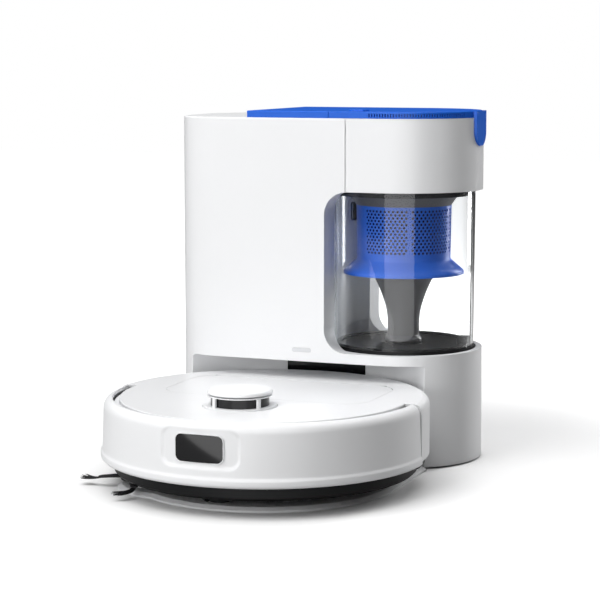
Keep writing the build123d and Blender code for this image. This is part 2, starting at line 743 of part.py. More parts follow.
def make_suspension_arm(side):
    """Trailing arm with the wheel's stub axle; side is -1 left, +1 right."""
    inner = side * (WELL_X - WELL_W / 2 + 1.5)
    with BuildPart() as arm:
        with BuildSketch(Plane.YZ.offset(inner)):
            with BuildLine():
                Polyline((ARM_PIVOT_Y, ARM_PIVOT_Z + 7), (0, WHEEL_Z + 9), (0, WHEEL_Z - 9),
                         (ARM_PIVOT_Y, ARM_PIVOT_Z - 7), close=True)
            make_face()
            with Locations((ARM_PIVOT_Y, ARM_PIVOT_Z)):
                Circle(7)
            with Locations((0, WHEEL_Z)):
                Circle(9)
            with Locations((ARM_PIVOT_Y, ARM_PIVOT_Z)):
                Circle(3 + FIT, mode=Mode.SUBTRACT)
        extrude(amount=side * 5)
        with BuildSketch(Plane.YZ.offset(inner)):
            with Locations((0, WHEEL_Z)):
                Circle(4)
        extrude(amount=side * 32)
    return arm


def make_wheel_hub(side):
    """Wheel hub with a running bore for the stub axle."""
    start = side * (WHEEL_X - 12)
    with BuildPart() as hub:
        with BuildSketch(Plane.YZ.offset(start)):
            with Locations((0, WHEEL_Z)):
                Circle(28)
        extrude(amount=side * 24)
        with BuildSketch(Plane.YZ.offset(start)):
            with Locations((0, WHEEL_Z)):
                Circle(4 + FIT)
                with PolarLocations(18, 6):
                    Circle(5)
        extrude(amount=side * 24, mode=Mode.SUBTRACT)
    return hub


def make_tyre(side):
    """Rubber tyre with grooves across its tread."""
    start = side * (WHEEL_X - 12)
    with BuildPart() as tyre:
        with BuildSketch(Plane.YZ.offset(start)):
            with Locations((0, WHEEL_Z)):
                Circle(WHEEL_R)
                Circle(28, mode=Mode.SUBTRACT)
                with PolarLocations(WHEEL_R, 24):
                    Rectangle(3, 3.2, mode=Mode.SUBTRACT)
        extrude(amount=side * 24)
    return tyre


for side, word in ((-1, "left"), (1, "right")):
    save_robot(make_suspension_arm(side), f"suspension_arm_{word}")
    save_robot(make_wheel_hub(side), f"wheel_hub_{word}")
    save_robot(make_tyre(side), f"tyre_{word}")

with BuildPart() as brush_housing:
    with BuildSketch(Plane.YZ.offset(-84)):
        with Locations((BRUSH_Y, BRUSH_Z)):
            Circle(21.5)
        with Locations((BRUSH_Y, 20)):
            Rectangle(43, 2 * (BRUSH_Z - 20) + 1)
        with Locations((BRUSH_Y, 60)):
            Rectangle(60, 80, mode=Mode.INTERSECT)
    extrude(amount=168)
    with BuildSketch(Plane.YZ.offset(-82)):
        with Locations((BRUSH_Y, BRUSH_Z)):
            Circle(19.5)
    extrude(amount=164, mode=Mode.SUBTRACT)
    with BuildSketch(Plane.YZ.offset(-85)):
        with Locations((BRUSH_Y, BRUSH_Z)):
            Circle(4 + FIT)
    extrude(amount=170, mode=Mode.SUBTRACT)
save_robot(brush_housing, "brush_housing")

with BuildPart() as main_brush:
    with BuildSketch(Plane.YZ.offset(-81)):
        with Locations((BRUSH_Y, BRUSH_Z)):
            Circle(9)
            with PolarLocations(12, 6):
                Rectangle(10.6, 2.2)
    extrude(amount=162)
    with BuildSketch(Plane.YZ.offset(-84)):
        with Locations((BRUSH_Y, BRUSH_Z)):
            Circle(4)
    extrude(amount=168)
save_robot(main_brush, "main_brush")

with BuildPart() as brush_cover:
    with BuildSketch(Plane.XY.offset(CHASSIS_BOTTOM - 1.6)):
        with Locations((0, BRUSH_Y)):
            RectangleRounded(184, 56, 6)
            RectangleRounded(164, 39, 4, mode=Mode.SUBTRACT)
    extrude(amount=1.6)
save_robot(brush_cover, "brush_cover")

with BuildPart() as brush_gearbox:
    with BuildSketch(Plane.XY.offset(CHASSIS_TOP)):
        with Locations(SIDE_BRUSH):
            Circle(13.4)
    extrude(amount=26)
    with BuildSketch(Plane.XY.offset(CHASSIS_TOP)):
        with Locations(SIDE_BRUSH):
            Circle(3 + FIT)
    extrude(amount=12, mode=Mode.SUBTRACT)
save_robot(brush_gearbox, "side_brush_gearbox")


def side_brush_arm(angle):
    """One drooping bristle arm of the side brush."""
    a = radians(angle)
    ax, ay = SIDE_BRUSH
    near = (ax + 8 * cos(a), ay + 8 * sin(a), 12.0)
    knee = (ax + 38 * cos(a), ay + 38 * sin(a), 9.5)
    tip = (ax + 63 * cos(a), ay + 63 * sin(a), 7.2)
    with BuildPart() as arm:
        with BuildLine():
            Line(near, knee)
            Line(knee, tip)
        with BuildSketch(Plane(origin=near, z_dir=Vector(*knee) - Vector(*near))):
            Circle(1.6)
        sweep(transition=Transition.ROUND)
    return arm.part


with BuildPart() as side_brush:
    with BuildSketch(Plane.XY.offset(9)):
        with Locations(SIDE_BRUSH):
            Circle(12)
    extrude(amount=6)
    with BuildSketch(Plane.XY.offset(15)):
        with Locations(SIDE_BRUSH):
            Circle(3)
    extrude(amount=15)
    for turn in range(3):
        add(side_brush_arm(180 + 120 * turn))
save_robot(side_brush, "side_brush")

with BuildPart() as caster_fork:
    with BuildSketch(Plane.XZ):
        with BuildLine():
            Polyline((0, 7), (11, 7))
            ThreePointArc((11, 7), (16.6, 10.4), (18.6, 16))
            Polyline((18.6, 16), (18.6, 31), (5, 31), (5, 37), (0, 37), (0, 7))
        make_face()
    revolve(axis=Axis.Z)
    with BuildSketch(Plane.XZ.offset(-25)):
        with Locations((0, 15)):
            Rectangle(15, 25)
    extrude(amount=50, mode=Mode.SUBTRACT)
    with BuildSketch(Plane.YZ.offset(-9)):
        with Locations((0, 15.3)):
            Circle(1.5)
    extrude(amount=18)
caster_fork.part = caster_fork.part.moved(Location((0, CASTER_Y, 0)))
save_robot(caster_fork, "caster_fork")

with BuildPart() as caster_wheel:
    with BuildSketch(Plane.YZ.offset(-6.5)):
        with Locations((CASTER_Y, 15.3)):
            Circle(10)
            Circle(1.5 + FIT, mode=Mode.SUBTRACT)
    extrude(amount=13)
    fillet(caster_wheel.edges().filter_by(lambda e: e.length > 40), 1.5)
save_robot(caster_wheel, "caster_wheel")

with BuildPart() as robot_contacts:
    with BuildSketch(Plane.XY.offset(CHASSIS_BOTTOM - 1.0)):
        with Locations((-CONTACT_X, 149), (CONTACT_X, 149)):
            RectangleRounded(22, 8, 2)
    extrude(amount=1.0)
save_robot(robot_contacts, "robot_contacts")

with BuildPart() as battery_pack:
    with BuildSketch(Plane.XY.offset(20)):
        with Locations((0, -35)):
            RectangleRounded(128, 84, 6)
    extrude(amount=36)
    fillet(battery_pack.edges().group_by(Axis.Z)[-1], 2)
save_robot(battery_pack, "battery_pack")

with BuildPart() as main_board:
    with BuildSketch(Plane.XY.offset(70)):
        with Locations((0, -40)):
            RectangleRounded(140, 110, 4)
    extrude(amount=1.6)
    with BuildSketch(Plane.XY.offset(71.6)):
        with Locations((-45, 0), (48, -8), (-42, -30)):
            Rectangle(18, 18)
    extrude(amount=3)
save_robot(main_board, "main_board")

with BuildPart() as suction_fan:
    with BuildSketch(Plane.XY.offset(48)):
        with Locations((-30, BRUSH_Y)):
            Circle(22)
    extrude(amount=28)
    fillet(suction_fan.edges().group_by(Axis.Z)[-1], 4)
    with BuildSketch(Plane.XY.offset(50)):
        with Locations((6, BRUSH_Y + 12)):
            Rectangle(40, 18)
    extrude(amount=18)
save_robot(suction_fan, "suction_fan")

with BuildPart() as dust_bin:
    with BuildSketch(Plane.XY.offset(24)):
        with Locations((0, BIN_Y)):
            RectangleRounded(128, 66, 8)
    extrude(amount=54)
    with BuildSketch(Plane.XY.offset(26)):
        with Locations((0, BIN_Y)):
            RectangleRounded(124, 62, 6)
    extrude(amount=60, mode=Mode.SUBTRACT)
    with BuildSketch(Plane.XZ.offset(-72 - 1)):
        with Locations((30, 60)):
            Rectangle(40, 16)
    extrude(amount=-6, mode=Mode.SUBTRACT)
save_robot(dust_bin, "dust_bin")

with BuildPart() as bin_filter:
    with BuildSketch(Plane.XY.offset(60)):
        with Locations((-30, BIN_Y)):
            Rectangle(56, 58)
    extrude(amount=14)
save_robot(bin_filter, "bin_filter")

with BuildPart() as deck_front:
    with BuildSketch(Plane.XY.offset(88.4)):
        Ellipse(153.5, 158)
    extrude(amount=DECK_TOP - 88.4)
    fillet(deck_front.edges().group_by(Axis.Z)[-1], 1.2)
    with BuildSketch(Plane.XY.offset(88)):
        with Locations((0, BUMPER_SEAM - 200)):
            Rectangle(500, 400)
    extrude(amount=20, mode=Mode.INTERSECT)

with BuildPart() as robot_deck:
    # rear half: plate, rounded shoulder and rear wall in one shell
    with BuildSketch(Plane.XY.offset(SHELL_BOTTOM)):
        Circle(BODY_R)
    extrude(amount=DECK_TOP - SHELL_BOTTOM)
    fillet(robot_deck.edges().group_by(Axis.Z)[-1], 8)
    chamfer(robot_deck.edges().group_by(Axis.Z)[0], 4)
    with BuildSketch(Plane.XY.offset(SHELL_BOTTOM)):
        Circle(BODY_R - 3.4)
    extrude(amount=DECK_TOP - DECK_PLATE - SHELL_BOTTOM - 6, mode=Mode.SUBTRACT)
    with BuildSketch(Plane.XY.offset(SHELL_BOTTOM)):
        Circle(BODY_R - 9)
    extrude(amount=DECK_TOP - DECK_PLATE - SHELL_BOTTOM, mode=Mode.SUBTRACT)
    with BuildSketch(Plane.XY):
        with Locations((0, BUMPER_SEAM + 200)):
            Rectangle(500, 400)
    extrude(amount=TALL, mode=Mode.INTERSECT)
    # front half: a plate with a rim, narrower than the bumper's inner edge
    add(deck_front.part)
    with BuildSketch(Plane.XY.offset(88)):
        Ellipse(148, 152)
        with Locations((0, -200 + 4)):
            Rectangle(500, 400, mode=Mode.INTERSECT)
    extrude(amount=DECK_TOP - DECK_PLATE - 88, mode=Mode.SUBTRACT)
    # turret hole
    with BuildSketch(Plane.XY.offset(80)):
        with Locations((0, TURRET_Y)):
            Circle(38.6)
    extrude(amount=20, mode=Mode.SUBTRACT)
    # lid opening: a thin gap, wider at the rear corners where the lid swings past
    with BuildSketch(Plane.XY.offset(80)):
        add(lid_outline(SWING_GAP))
        with Locations((0, LID_REAR)):
            Rectangle(3 * LID_X, 40, mode=Mode.INTERSECT)
        add(lid_outline(LID_GAP))
    extrude(amount=20, mode=Mode.SUBTRACT)
    # grooves that the lid's rear corners swing through
    for side in (-1, 1):
        with BuildSketch(Plane.YZ.offset(side * BARREL_X)):
            with Locations((HINGE_Y, HINGE_Z)):
                Circle(SWING_R)
        extrude(amount=side * (SWING_X - BARREL_X), mode=Mode.SUBTRACT)
    # two ears that carry the lid's hinge pin
    for side in (-1, 1):
        with BuildSketch(Plane.YZ.offset(side * EAR_X - EAR_W / 2)):
            with Locations((HINGE_Y, HINGE_Z)):
                Circle(BARREL_R)
            with Locations((HINGE_Y + 2, HINGE_Z)):
                Rectangle(4, 2 * BARREL_R)
            with Locations((HINGE_Y, HINGE_Z)):
                Circle(PIN_R, mode=Mode.SUBTRACT)
        extrude(amount=EAR_W)
    # emptying port through the rear wall
    with BuildSketch(radial_plane(PORT_ANGLE, BODY_R, PORT_Z, (0, 0))):
        Circle(PORT_R)
    extrude(amount=8, both=True, mode=Mode.SUBTRACT)
save_robot(robot_deck, "robot_deck")

with BuildPart() as top_lid:
    with BuildSketch(Plane.XY.offset(DECK_TOP - LID_PLATE)):
        add(lid_outline())
    extrude(amount=LID_PLATE)
    # the straight rear edge is a barrel about the hinge axis
    with BuildSketch(Plane.XY.offset(80)):
        with Locations((0, LID_REAR)):
            Rectangle(2 * BARREL_X, 2 * BARREL_R)
    extrude(amount=20, mode=Mode.SUBTRACT)
    with BuildSketch(Plane.YZ.offset(-BARREL_X)):
        with Locations((HINGE_Y, HINGE_Z)):
            Circle(BARREL_R)
    extrude(amount=2 * BARREL_X)
    # notches for the deck's ears
    with BuildSketch(Plane.XY.offset(80)):
        with Locations((-EAR_X, LID_REAR), (EAR_X, LID_REAR)):
            Rectangle(EAR_W + 0.6, 2 * (2 * BARREL_R + 0.5))
    extrude(amount=20, mode=Mode.SUBTRACT)
    with BuildSketch(Plane.YZ.offset(-EAR_X - 6)):
        with Locations((HINGE_Y, HINGE_Z)):
            Circle(PIN_R + FIT)
    extrude(amount=2 * (EAR_X + 6), mode=Mode.SUBTRACT)
save_robot(top_lid, "top_lid")

with BuildPart() as lid_hinge_pin:
    with BuildSketch(Plane.YZ.offset(-EAR_X - 5.5)):
        with Locations((HINGE_Y, HINGE_Z)):
            Circle(PIN_R)
    extrude(amount=2 * (EAR_X + 5.5))
save_robot(lid_hinge_pin, "lid_hinge_pin")

with BuildPart() as inner_tray:
    with BuildSketch(Plane.XY.offset(85)):
        Circle(148.8)
        with Locations((0, TURRET_Y)):
            Circle(39, mode=Mode.SUBTRACT)
        with Locations((0, BIN_Y)):
            RectangleRounded(120, 50, 9, mode=Mode.SUBTRACT)
    extrude(amount=2)
save_robot(inner_tray, "inner_tray")

with BuildPart() as bumper:
    with BuildSketch(Plane.XZ):
        with BuildLine():
            Polyline((163.5, 31), (172, 31), (174, 33), (LIP_R, 38.6), (BODY_R, 41), (170.8, 84))
            ThreePointArc((170.8, 84), (167.9, 91.0), (161.4, 94))
            Polyline((161.4, 94), (161.4, 90.6))
            ThreePointArc((161.4, 90.6), (165.8, 88.8), (167.6, 84))
            Polyline((167.6, 84), (169.2, 41), (169.2, 34), (163.5, 34), (163.5, 31))
        make_face()
    revolve(axis=Axis.Z)
    with BuildSketch(Plane.XY):
        with Locations((0, -200 - 0.25)):
            Rectangle(500, 400)
    extrude(amount=TALL, mode=Mode.INTERSECT)
    with BuildSketch(Plane.XZ.offset(150)):
        with Locations((0, WINDOW_Z)):
            RectangleRounded(WINDOW_W, WINDOW_H, 6.2)
    extrude(amount=40, mode=Mode.SUBTRACT)
save_robot(bumper, "bumper")

with BuildPart() as bumper_window:
    with BuildSketch(Plane.XY.offset(40)):
        Circle(170.6)
        Circle(166.8, mode=Mode.SUBTRACT)
    extrude(amount=50)
    with BuildSketch(Plane.XZ.offset(150)):
        with Locations((0, WINDOW_Z)):
            RectangleRounded(WINDOW_W - 0.4, WINDOW_H - 0.4, 6)
    extrude(amount=40, mode=Mode.INTERSECT)
save_robot(bumper_window, "bumper_window")

with BuildPart() as lidar_base:
    add(ring(80, 2.5, 38, 0))
    add(ring(80, 14.4, 38, 35))
    add(ring(93, 2.2, 36.8, 26))
    add(ring(82, 6, 5, 0))
lidar_base.part = lidar_base.part.moved(Location((0, TURRET_Y, 0)))
save_robot(lidar_base, "lidar_base")

with BuildPart() as lidar_cage:
    with BuildSketch(Plane.XY.offset(95.2)):
        with PolarLocations(31.8, 4, start_angle=-30.5):
            RectangleRounded(3.2, 4.4, 1.0)
    extrude(amount=9.6)
    add(ring(104.8, 1.2, 33.2, 5 + FIT))
lidar_cage.part = lidar_cage.part.moved(Location((0, TURRET_Y, 0)))
save_robot(lidar_cage, "lidar_cage")

with BuildPart() as lidar_window:
    add(ring(95.2, 9.6, 30.0, 28.0))
lidar_window.part = lidar_window.part.moved(Location((0, TURRET_Y, 0)))
save_robot(lidar_window, "lidar_window")

with BuildPart() as lidar_rotor:
    add(ring(88.2, 13, 24, 0))
    fillet(lidar_rotor.edges().group_by(Axis.Z)[-1], 2)
    with BuildSketch(Plane.XZ.offset(0)):
        with Locations((-9, 98), (9, 98)):
            Circle(3.6)
    extrude(amount=30, mode=Mode.SUBTRACT)
lidar_rotor.part = lidar_rotor.part.moved(Location((0, TURRET_Y, 0)))
save_robot(lidar_rotor, "lidar_rotor")

with BuildPart() as turret_cap:
    with BuildSketch(Plane.XZ):
        with BuildLine():
            Polyline((0, 103.2), (5, 103.2), (5, 107.4), (TURRET_R, 107.4), (TURRET_R, 108.8))
            ThreePointArc((TURRET_R, 108.8), (32.6, 110.6), (30.0, 111.4))
            Polyline((30.0, 111.4), (0, 112.2), (0, 103.2))
        make_face()
    revolve(axis=Axis.Z)
turret_cap.part = turret_cap.part.moved(Location((0, TURRET_Y, 0)))
save_robot(turret_cap, "turret_cap")
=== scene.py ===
"""Looks for a docked robot vacuum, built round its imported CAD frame."""
import json
import math
import random

import bmesh
import bpy
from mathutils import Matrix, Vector


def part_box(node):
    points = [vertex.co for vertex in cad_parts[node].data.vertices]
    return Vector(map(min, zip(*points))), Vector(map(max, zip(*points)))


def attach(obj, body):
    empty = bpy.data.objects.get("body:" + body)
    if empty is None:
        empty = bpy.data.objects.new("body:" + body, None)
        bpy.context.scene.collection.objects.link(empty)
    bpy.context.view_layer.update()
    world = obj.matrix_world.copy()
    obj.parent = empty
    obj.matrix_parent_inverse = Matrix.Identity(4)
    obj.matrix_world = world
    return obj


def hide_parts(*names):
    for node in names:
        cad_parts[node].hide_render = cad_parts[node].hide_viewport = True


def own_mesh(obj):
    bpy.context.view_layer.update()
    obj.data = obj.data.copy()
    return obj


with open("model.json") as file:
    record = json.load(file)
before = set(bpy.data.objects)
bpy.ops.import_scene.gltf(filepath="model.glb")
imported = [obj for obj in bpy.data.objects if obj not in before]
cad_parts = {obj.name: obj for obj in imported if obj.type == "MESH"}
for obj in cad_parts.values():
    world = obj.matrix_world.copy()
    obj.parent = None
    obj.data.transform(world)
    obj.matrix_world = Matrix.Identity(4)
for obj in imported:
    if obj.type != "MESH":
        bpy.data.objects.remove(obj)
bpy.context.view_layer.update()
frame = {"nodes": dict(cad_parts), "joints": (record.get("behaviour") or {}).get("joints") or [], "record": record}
nodes = frame["nodes"]
record = frame["record"]

MM = 0.001
SLOT_OF = {part["node"]: part["material_slot"] for part in record["subparts"]}
JOINT_PLACE = {joint["name"]: Vector(joint["pos_m"]) for joint in frame["joints"] if "pos_m" in joint}
UP = Vector((0, 0, 1))
deck_low, deck_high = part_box("robot_deck")
robot_axis = Vector((0, deck_high.y - (deck_high.x - deck_low.x) / 2, 0))


# ---- small helpers -------------------------------------------------------------
SAME_PLACE = 1e-7  # points nearer than this are one point


def middle(node):
    """The centre of a CAD node's box."""
    low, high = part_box(node)
    return (low + high) / 2


def polar(centre, radius, angle, z):
    """The point at a radius and an angle from +X round an upright axis."""
    return Vector((centre.x + radius * math.cos(angle), centre.y + radius * math.sin(angle), z))


def smoothstep(value):
    """A value from 0 to 1 with a gentle start and end."""
    value = min(1.0, max(0.0, value))
    return value * value * (3 - 2 * value)


def lerp(start, end, share):
    """The value a share of the way from start to end."""
    return start + (end - start) * share


def sharpen(mesh, angle=35):
    """Smooth faces, with the edges steeper than angle left sharp."""
    mesh.shade_smooth()
    mesh.set_sharp_from_angle(angle=math.radians(angle))


def loft(bm, rows, cap=False):
    """Quads between rows of points, each row a closed ring; cap closes the first and the last."""
    made = [[bm.verts.new(point) for point in row] for row in rows]
    count = len(made[0])
    for lower, upper in zip(made, made[1:]):
        for step in range(count):
            after = (step + 1) % count
            bm.faces.new((lower[step], lower[after], upper[after], upper[step]))
    if cap:
        bm.faces.new(list(reversed(made[0])))
        bm.faces.new(made[-1])
    return made


def tube(bm, path, radii, sides=8, flat=1.0, side_way=None):
    """A round or flattened tube along a path of points, with its ends closed."""
    rows = []
    for index, point in enumerate(path):
        before = path[max(0, index - 1)]
        after = path[min(len(path) - 1, index + 1)]
        way = (after - before).normalized()
        across = side_way.copy() if side_way else way.cross(UP)
        across = (across - way * across.dot(way)).normalized()
        up = across.cross(way).normalized()
        radius = radii[index] if isinstance(radii, (list, tuple)) else radii
        row = []
        for side in range(sides):
            turn = 2 * math.pi * side / sides
            row.append(point + across * radius * math.cos(turn) + up * radius * flat * math.sin(turn))
        rows.append(row)
    loft(bm, rows, cap=True)


def weld(bm, made):
    """Join the first and the last row of a loft that comes back to its start."""
    bmesh.ops.remove_doubles(bm, verts=made[0] + made[-1], dist=SAME_PLACE)


def lathe(bm, outline, centre, steps=96, closed=False):
    """Turn an outline of (radius, z) points about an upright axis."""
    rows = [[polar(centre, radius, 2 * math.pi * step / steps, z) for step in range(steps)]
            for radius, z in outline]
    if closed:
        rows.append(rows[0])
    made = loft(bm, rows)
    if closed:
        weld(bm, made)


def rounded_corner(before, corner, after, cut, steps=4):
    """Points that round one corner of an outline, starting cut away from it."""
    before, corner, after = Vector(before), Vector(corner), Vector(after)
    start = corner + (before - corner).normalized() * cut
    end = corner + (after - corner).normalized() * cut
    points = []
    for step in range(steps + 1):
        share = step / steps
        points.append(tuple(start * (1 - share) ** 2 + corner * 2 * share * (1 - share) + end * share ** 2))
    return points


def drop_repeats(points):
    """The same outline without points that repeat the one before."""
    kept = []
    for point in points:
        if not kept or math.dist(point, kept[-1]) > SAME_PLACE:
            kept.append(point)
    return kept


def new_piece(name, make, body, slot, stands_for=(), sharp=35):
    """A mesh piece made by make(bm), riding on a CAD body, with its slot's material."""
    bm = bmesh.new()
    make(bm)
    bmesh.ops.recalc_face_normals(bm, faces=bm.faces)
    mesh = bpy.data.meshes.new(name)
    bm.to_mesh(mesh)
    bm.free()
    sharpen(mesh, sharp)
    piece = bpy.data.objects.new(name, mesh)
    bpy.context.scene.collection.objects.link(piece)
    mesh.materials.append(materials[slot])
    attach(piece, body)
    if stands_for:
        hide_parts(*stands_for)
    return piece


def settle(piece, sharp=35):
    """Turn a piece's modifiers into plain mesh."""
    graph = bpy.context.evaluated_depsgraph_get()
    done = bpy.data.meshes.new_from_object(piece.evaluated_get(graph), depsgraph=graph)
    piece.modifiers.clear()
    old = piece.data
    piece.data = done
    bpy.data.meshes.remove(old)
    sharpen(done, sharp)


# ---- materials --------------------------------------------------------------------
CLOUD_SIZE = 45 * MM  # patches of slightly lighter and darker plastic
POLISH_SIZE = 9 * MM  # patches of more and less gloss
GRAIN_SIZE, GRAIN_DEPTH = 0.5 * MM, 0.15 * MM  # the erosion grain of moulded plastic
SCRATCH_SIZE, SCRATCH_DEPTH = 0.8 * MM, 0.1 * MM  # fine lines on bare metal
SMEAR_SIZE = 30 * MM  # patches of more and less gloss on clear plastic


def add_node(tree, kind, inputs=None, **settings):
    """A shader node with its settings made and its inputs set or linked."""
    made = tree.nodes.new(kind)
    for name, value in settings.items():
        setattr(made, name, value)
    for name, value in (inputs or {}).items():
        if isinstance(value, bpy.types.NodeSocket):
            tree.links.new(value, made.inputs[name])
        else:
            made.inputs[name].default_value = value
    return made


def object_place(tree):
    """The place on the object, in metres."""
    return add_node(tree, "ShaderNodeTexCoord").outputs["Object"]


def noise(tree, place, size, detail=3.0, roughness=0.55):
    """Cloudy noise whose patches are about size metres across."""
    inputs = {"Vector": place, "Scale": 1 / size, "Detail": detail, "Roughness": roughness}
    return add_node(tree, "ShaderNodeTexNoise", inputs).outputs["Fac"]


def span(tree, value, low, high):
    """A value from 0 to 1 spread over low to high."""
    inputs = {"Value": value, "To Min": low, "To Max": high}
    return add_node(tree, "ShaderNodeMapRange", inputs).outputs["Result"]


def tint(tree, value, dark, light):
    """A colour between dark and light."""
    mix = add_node(tree, "ShaderNodeMix", {"Factor": value}, data_type="RGBA")
    mix.inputs[6].default_value = (*dark, 1)
    mix.inputs[7].default_value = (*light, 1)
    return mix.outputs[2]


def scaled(colour, share):
    """A colour made lighter or darker."""
    return tuple(min(1.0, part * share) for part in colour)


def moulded(name, colour, roughness, grain=0.03, mottle=0.02, soft_edge=0.0, coat=0.0, specular=0.5):
    """Moulded plastic: erosion grain, faint mottling, and edges that catch the light."""
    material = bpy.data.materials.new(name)
    material.use_nodes = True
    tree = material.node_tree
    shader = tree.nodes["Principled BSDF"]
    place = object_place(tree)
    cloud = noise(tree, place, CLOUD_SIZE)
    shade = tint(tree, cloud, scaled(colour, 1 - mottle), scaled(colour, 1 + mottle))
    tree.links.new(shade, shader.inputs["Base Color"])
    polish = span(tree, noise(tree, place, POLISH_SIZE, 4.0), roughness * 0.88, roughness * 1.12)
    tree.links.new(polish, shader.inputs["Roughness"])
    fine = noise(tree, place, GRAIN_SIZE, 2.0)
    bump = add_node(tree, "ShaderNodeBump", {"Height": fine, "Strength": grain, "Distance": GRAIN_DEPTH})
    if soft_edge:
        edge = add_node(tree, "ShaderNodeBevel", {"Radius": soft_edge}, samples=4)
        tree.links.new(edge.outputs["Normal"], bump.inputs["Normal"])
    tree.links.new(bump.outputs["Normal"], shader.inputs["Normal"])
    shader.inputs["Specular IOR Level"].default_value = specular
    shader.inputs["Coat Weight"].default_value = coat
    shader.inputs["Coat Roughness"].default_value = 0.12
    return material


def metal(name, colour, roughness, brush=(1.0, 1.0, 1.0), wear=0.15):
    """Bare metal with fine scratches stretched along one direction."""
    material = bpy.data.materials.new(name)
    material.use_nodes = True
    tree = material.node_tree
    shader = tree.nodes["Principled BSDF"]
    stretch = add_node(tree, "ShaderNodeMapping", {"Vector": object_place(tree)})
    stretch.inputs["Scale"].default_value = brush
    lines = noise(tree, stretch.outputs["Vector"], SCRATCH_SIZE, 5.0, 0.7)
    shade = tint(tree, lines, scaled(colour, 1 - wear), scaled(colour, 1 + wear))
    tree.links.new(shade, shader.inputs["Base Color"])
    shader.inputs["Metallic"].default_value = 1.0
    tree.links.new(span(tree, lines, roughness * 0.8, roughness * 1.25), shader.inputs["Roughness"])
    bump = add_node(tree, "ShaderNodeBump", {"Height": lines, "Strength": 0.05, "Distance": SCRATCH_DEPTH})
    tree.links.new(bump.outputs["Normal"], shader.inputs["Normal"])
    return material


def clear_plastic(name):
    """Clear moulded plastic that lets lamps through to what is inside."""
    material = bpy.data.materials.new(name)
    material.use_nodes = True
    tree = material.node_tree
    shader = tree.nodes["Principled BSDF"]
    shader.inputs["Base Color"].default_value = (0.97, 0.98, 0.985, 1)
    shader.inputs["Transmission Weight"].default_value = 1.0
    shader.inputs["IOR"].default_value = 1.4
    smear = noise(tree, object_place(tree), SMEAR_SIZE, 4.0)
    tree.links.new(span(tree, smear, 0.005, 0.03), shader.inputs["Roughness"])
    open_way = add_node(tree, "ShaderNodeBsdfTransparent", {"Color": (0.96, 0.97, 0.98, 1)})
    path = add_node(tree, "ShaderNodeLightPath")
    kinds = {0: path.outputs["Is Shadow Ray"], 1: path.outputs["Is Diffuse Ray"]}
    either = add_node(tree, "ShaderNodeMath", kinds, operation="MAXIMUM")
    mix = add_node(tree, "ShaderNodeMixShader", {"Fac": either.outputs["Value"]})
    tree.links.new(shader.outputs["BSDF"], mix.inputs[1])
    tree.links.new(open_way.outputs["BSDF"], mix.inputs[2])
    tree.links.new(mix.outputs["Shader"], tree.nodes["Material Output"].inputs["Surface"])
    return material


WHITE = (0.86, 0.865, 0.875)
materials = {
    "white_shell": moulded("white_shell", WHITE, 0.34, grain=0.02, mottle=0.008, soft_edge=0.8 * MM,
                           specular=0.35),
    "light_grey": moulded("light_grey", (0.82, 0.825, 0.835), 0.42, mottle=0.02, soft_edge=0.6 * MM),
    "dark_grey": moulded("dark_grey", (0.01, 0.0103, 0.011), 0.34, grain=0.05, soft_edge=0.4 * MM,
                         specular=0.15),
    "cone_grey": moulded("cone_grey", (0.085, 0.085, 0.09), 0.38, grain=0.04, soft_edge=0.4 * MM),
    "blue": moulded("blue", (0.012, 0.125, 0.66), 0.36, grain=0.03, soft_edge=0.4 * MM, specular=0.3),
    "clear": clear_plastic("clear"),
    "gloss_black": moulded("gloss_black", (0.004, 0.004, 0.005), 0.08, grain=0.0, specular=0.4),
    "rubber_black": moulded("rubber_black", (0.018, 0.018, 0.019), 0.55, grain=0.1, specular=0.3),
    "tyre_rubber": moulded("tyre_rubber", (0.022, 0.022, 0.023), 0.75, grain=0.2, specular=0.3),
    "steel": metal("steel", (0.6, 0.6, 0.61), 0.3, brush=(1, 1, 12)),
    "motor_case": metal("motor_case", (0.5, 0.51, 0.52), 0.38, brush=(1, 1, 8)),
    "filter_media": moulded("filter_media", (0.78, 0.79, 0.76), 0.85, grain=0.5, mottle=0.06),
    "board_green": moulded("board_green", (0.012, 0.09, 0.035), 0.35, mottle=0.15),
    "brass_contact": metal("brass_contact", (0.78, 0.55, 0.26), 0.25, brush=(6, 1, 1)),
    "bristle": moulded("bristle", (0.012, 0.012, 0.013), 0.5, grain=0.05),
    "status_lens": moulded("status_lens", (0.7, 0.71, 0.73), 0.15, grain=0.0, coat=0.4),
}

for name, node in nodes.items():
    node.data.materials.clear()
    node.data.materials.append(materials[SLOT_OF[name]])

# ---- the cyclone's mesh drum ------------------------------------------------------
# The drum has six sides of 60 degrees: four perforated, two plain towards the air inlet.
DRUM_SIDES = 6
PIERCED_SIDES = 4
CELL_UNITS = 4  # a hole's cell is 4 units wide and 2 half rows high
HOLES_LONG = 11  # holes in a long row; the rows between have one less
SIDE_UNITS = CELL_UNITS * HOLES_LONG + 2
HOLE_ROWS = 14
HOLE_ROW_STEP = 3.54 * MM
HOLE_R = 1.42 * MM
HOLE_POINTS = 12
DRUM_TOP_R = 53.5 * MM
DRUM_BOTTOM_R = 52.5 * MM
DRUM_FOOT = 223 * MM
FIRST_ROW = 279 * MM
FIRST_SIDE = math.radians(-124.5)  # where the first perforated side starts
DRUM_WALL = 0.8 * MM
GROOVE = 0.3 * MM
BEAD_HIGH, BEAD_OUT = 1.2 * MM, 0.5 * MM  # the bead between the drum and its skirt
FLARE_DROP, FLARE_OUT = 1.0 * MM, 1.4 * MM  # where the skirt's flare starts
FLARE_FOOT = 3.2 * MM  # where the flare ends, above the skirt's lower edge
SKIRT_RIM = 2.4 * MM  # the skirt's upright rim
# Painted shade: a black sleeve inside the drum makes its holes read dark
SHADE_SLEEVE_R = 48.6 * MM
SHADE_SLEEVE_WALL = 1.0 * MM
SHADE_SLEEVE_LOW, SHADE_SLEEVE_HIGH = 225.2 * MM, 283.6 * MM


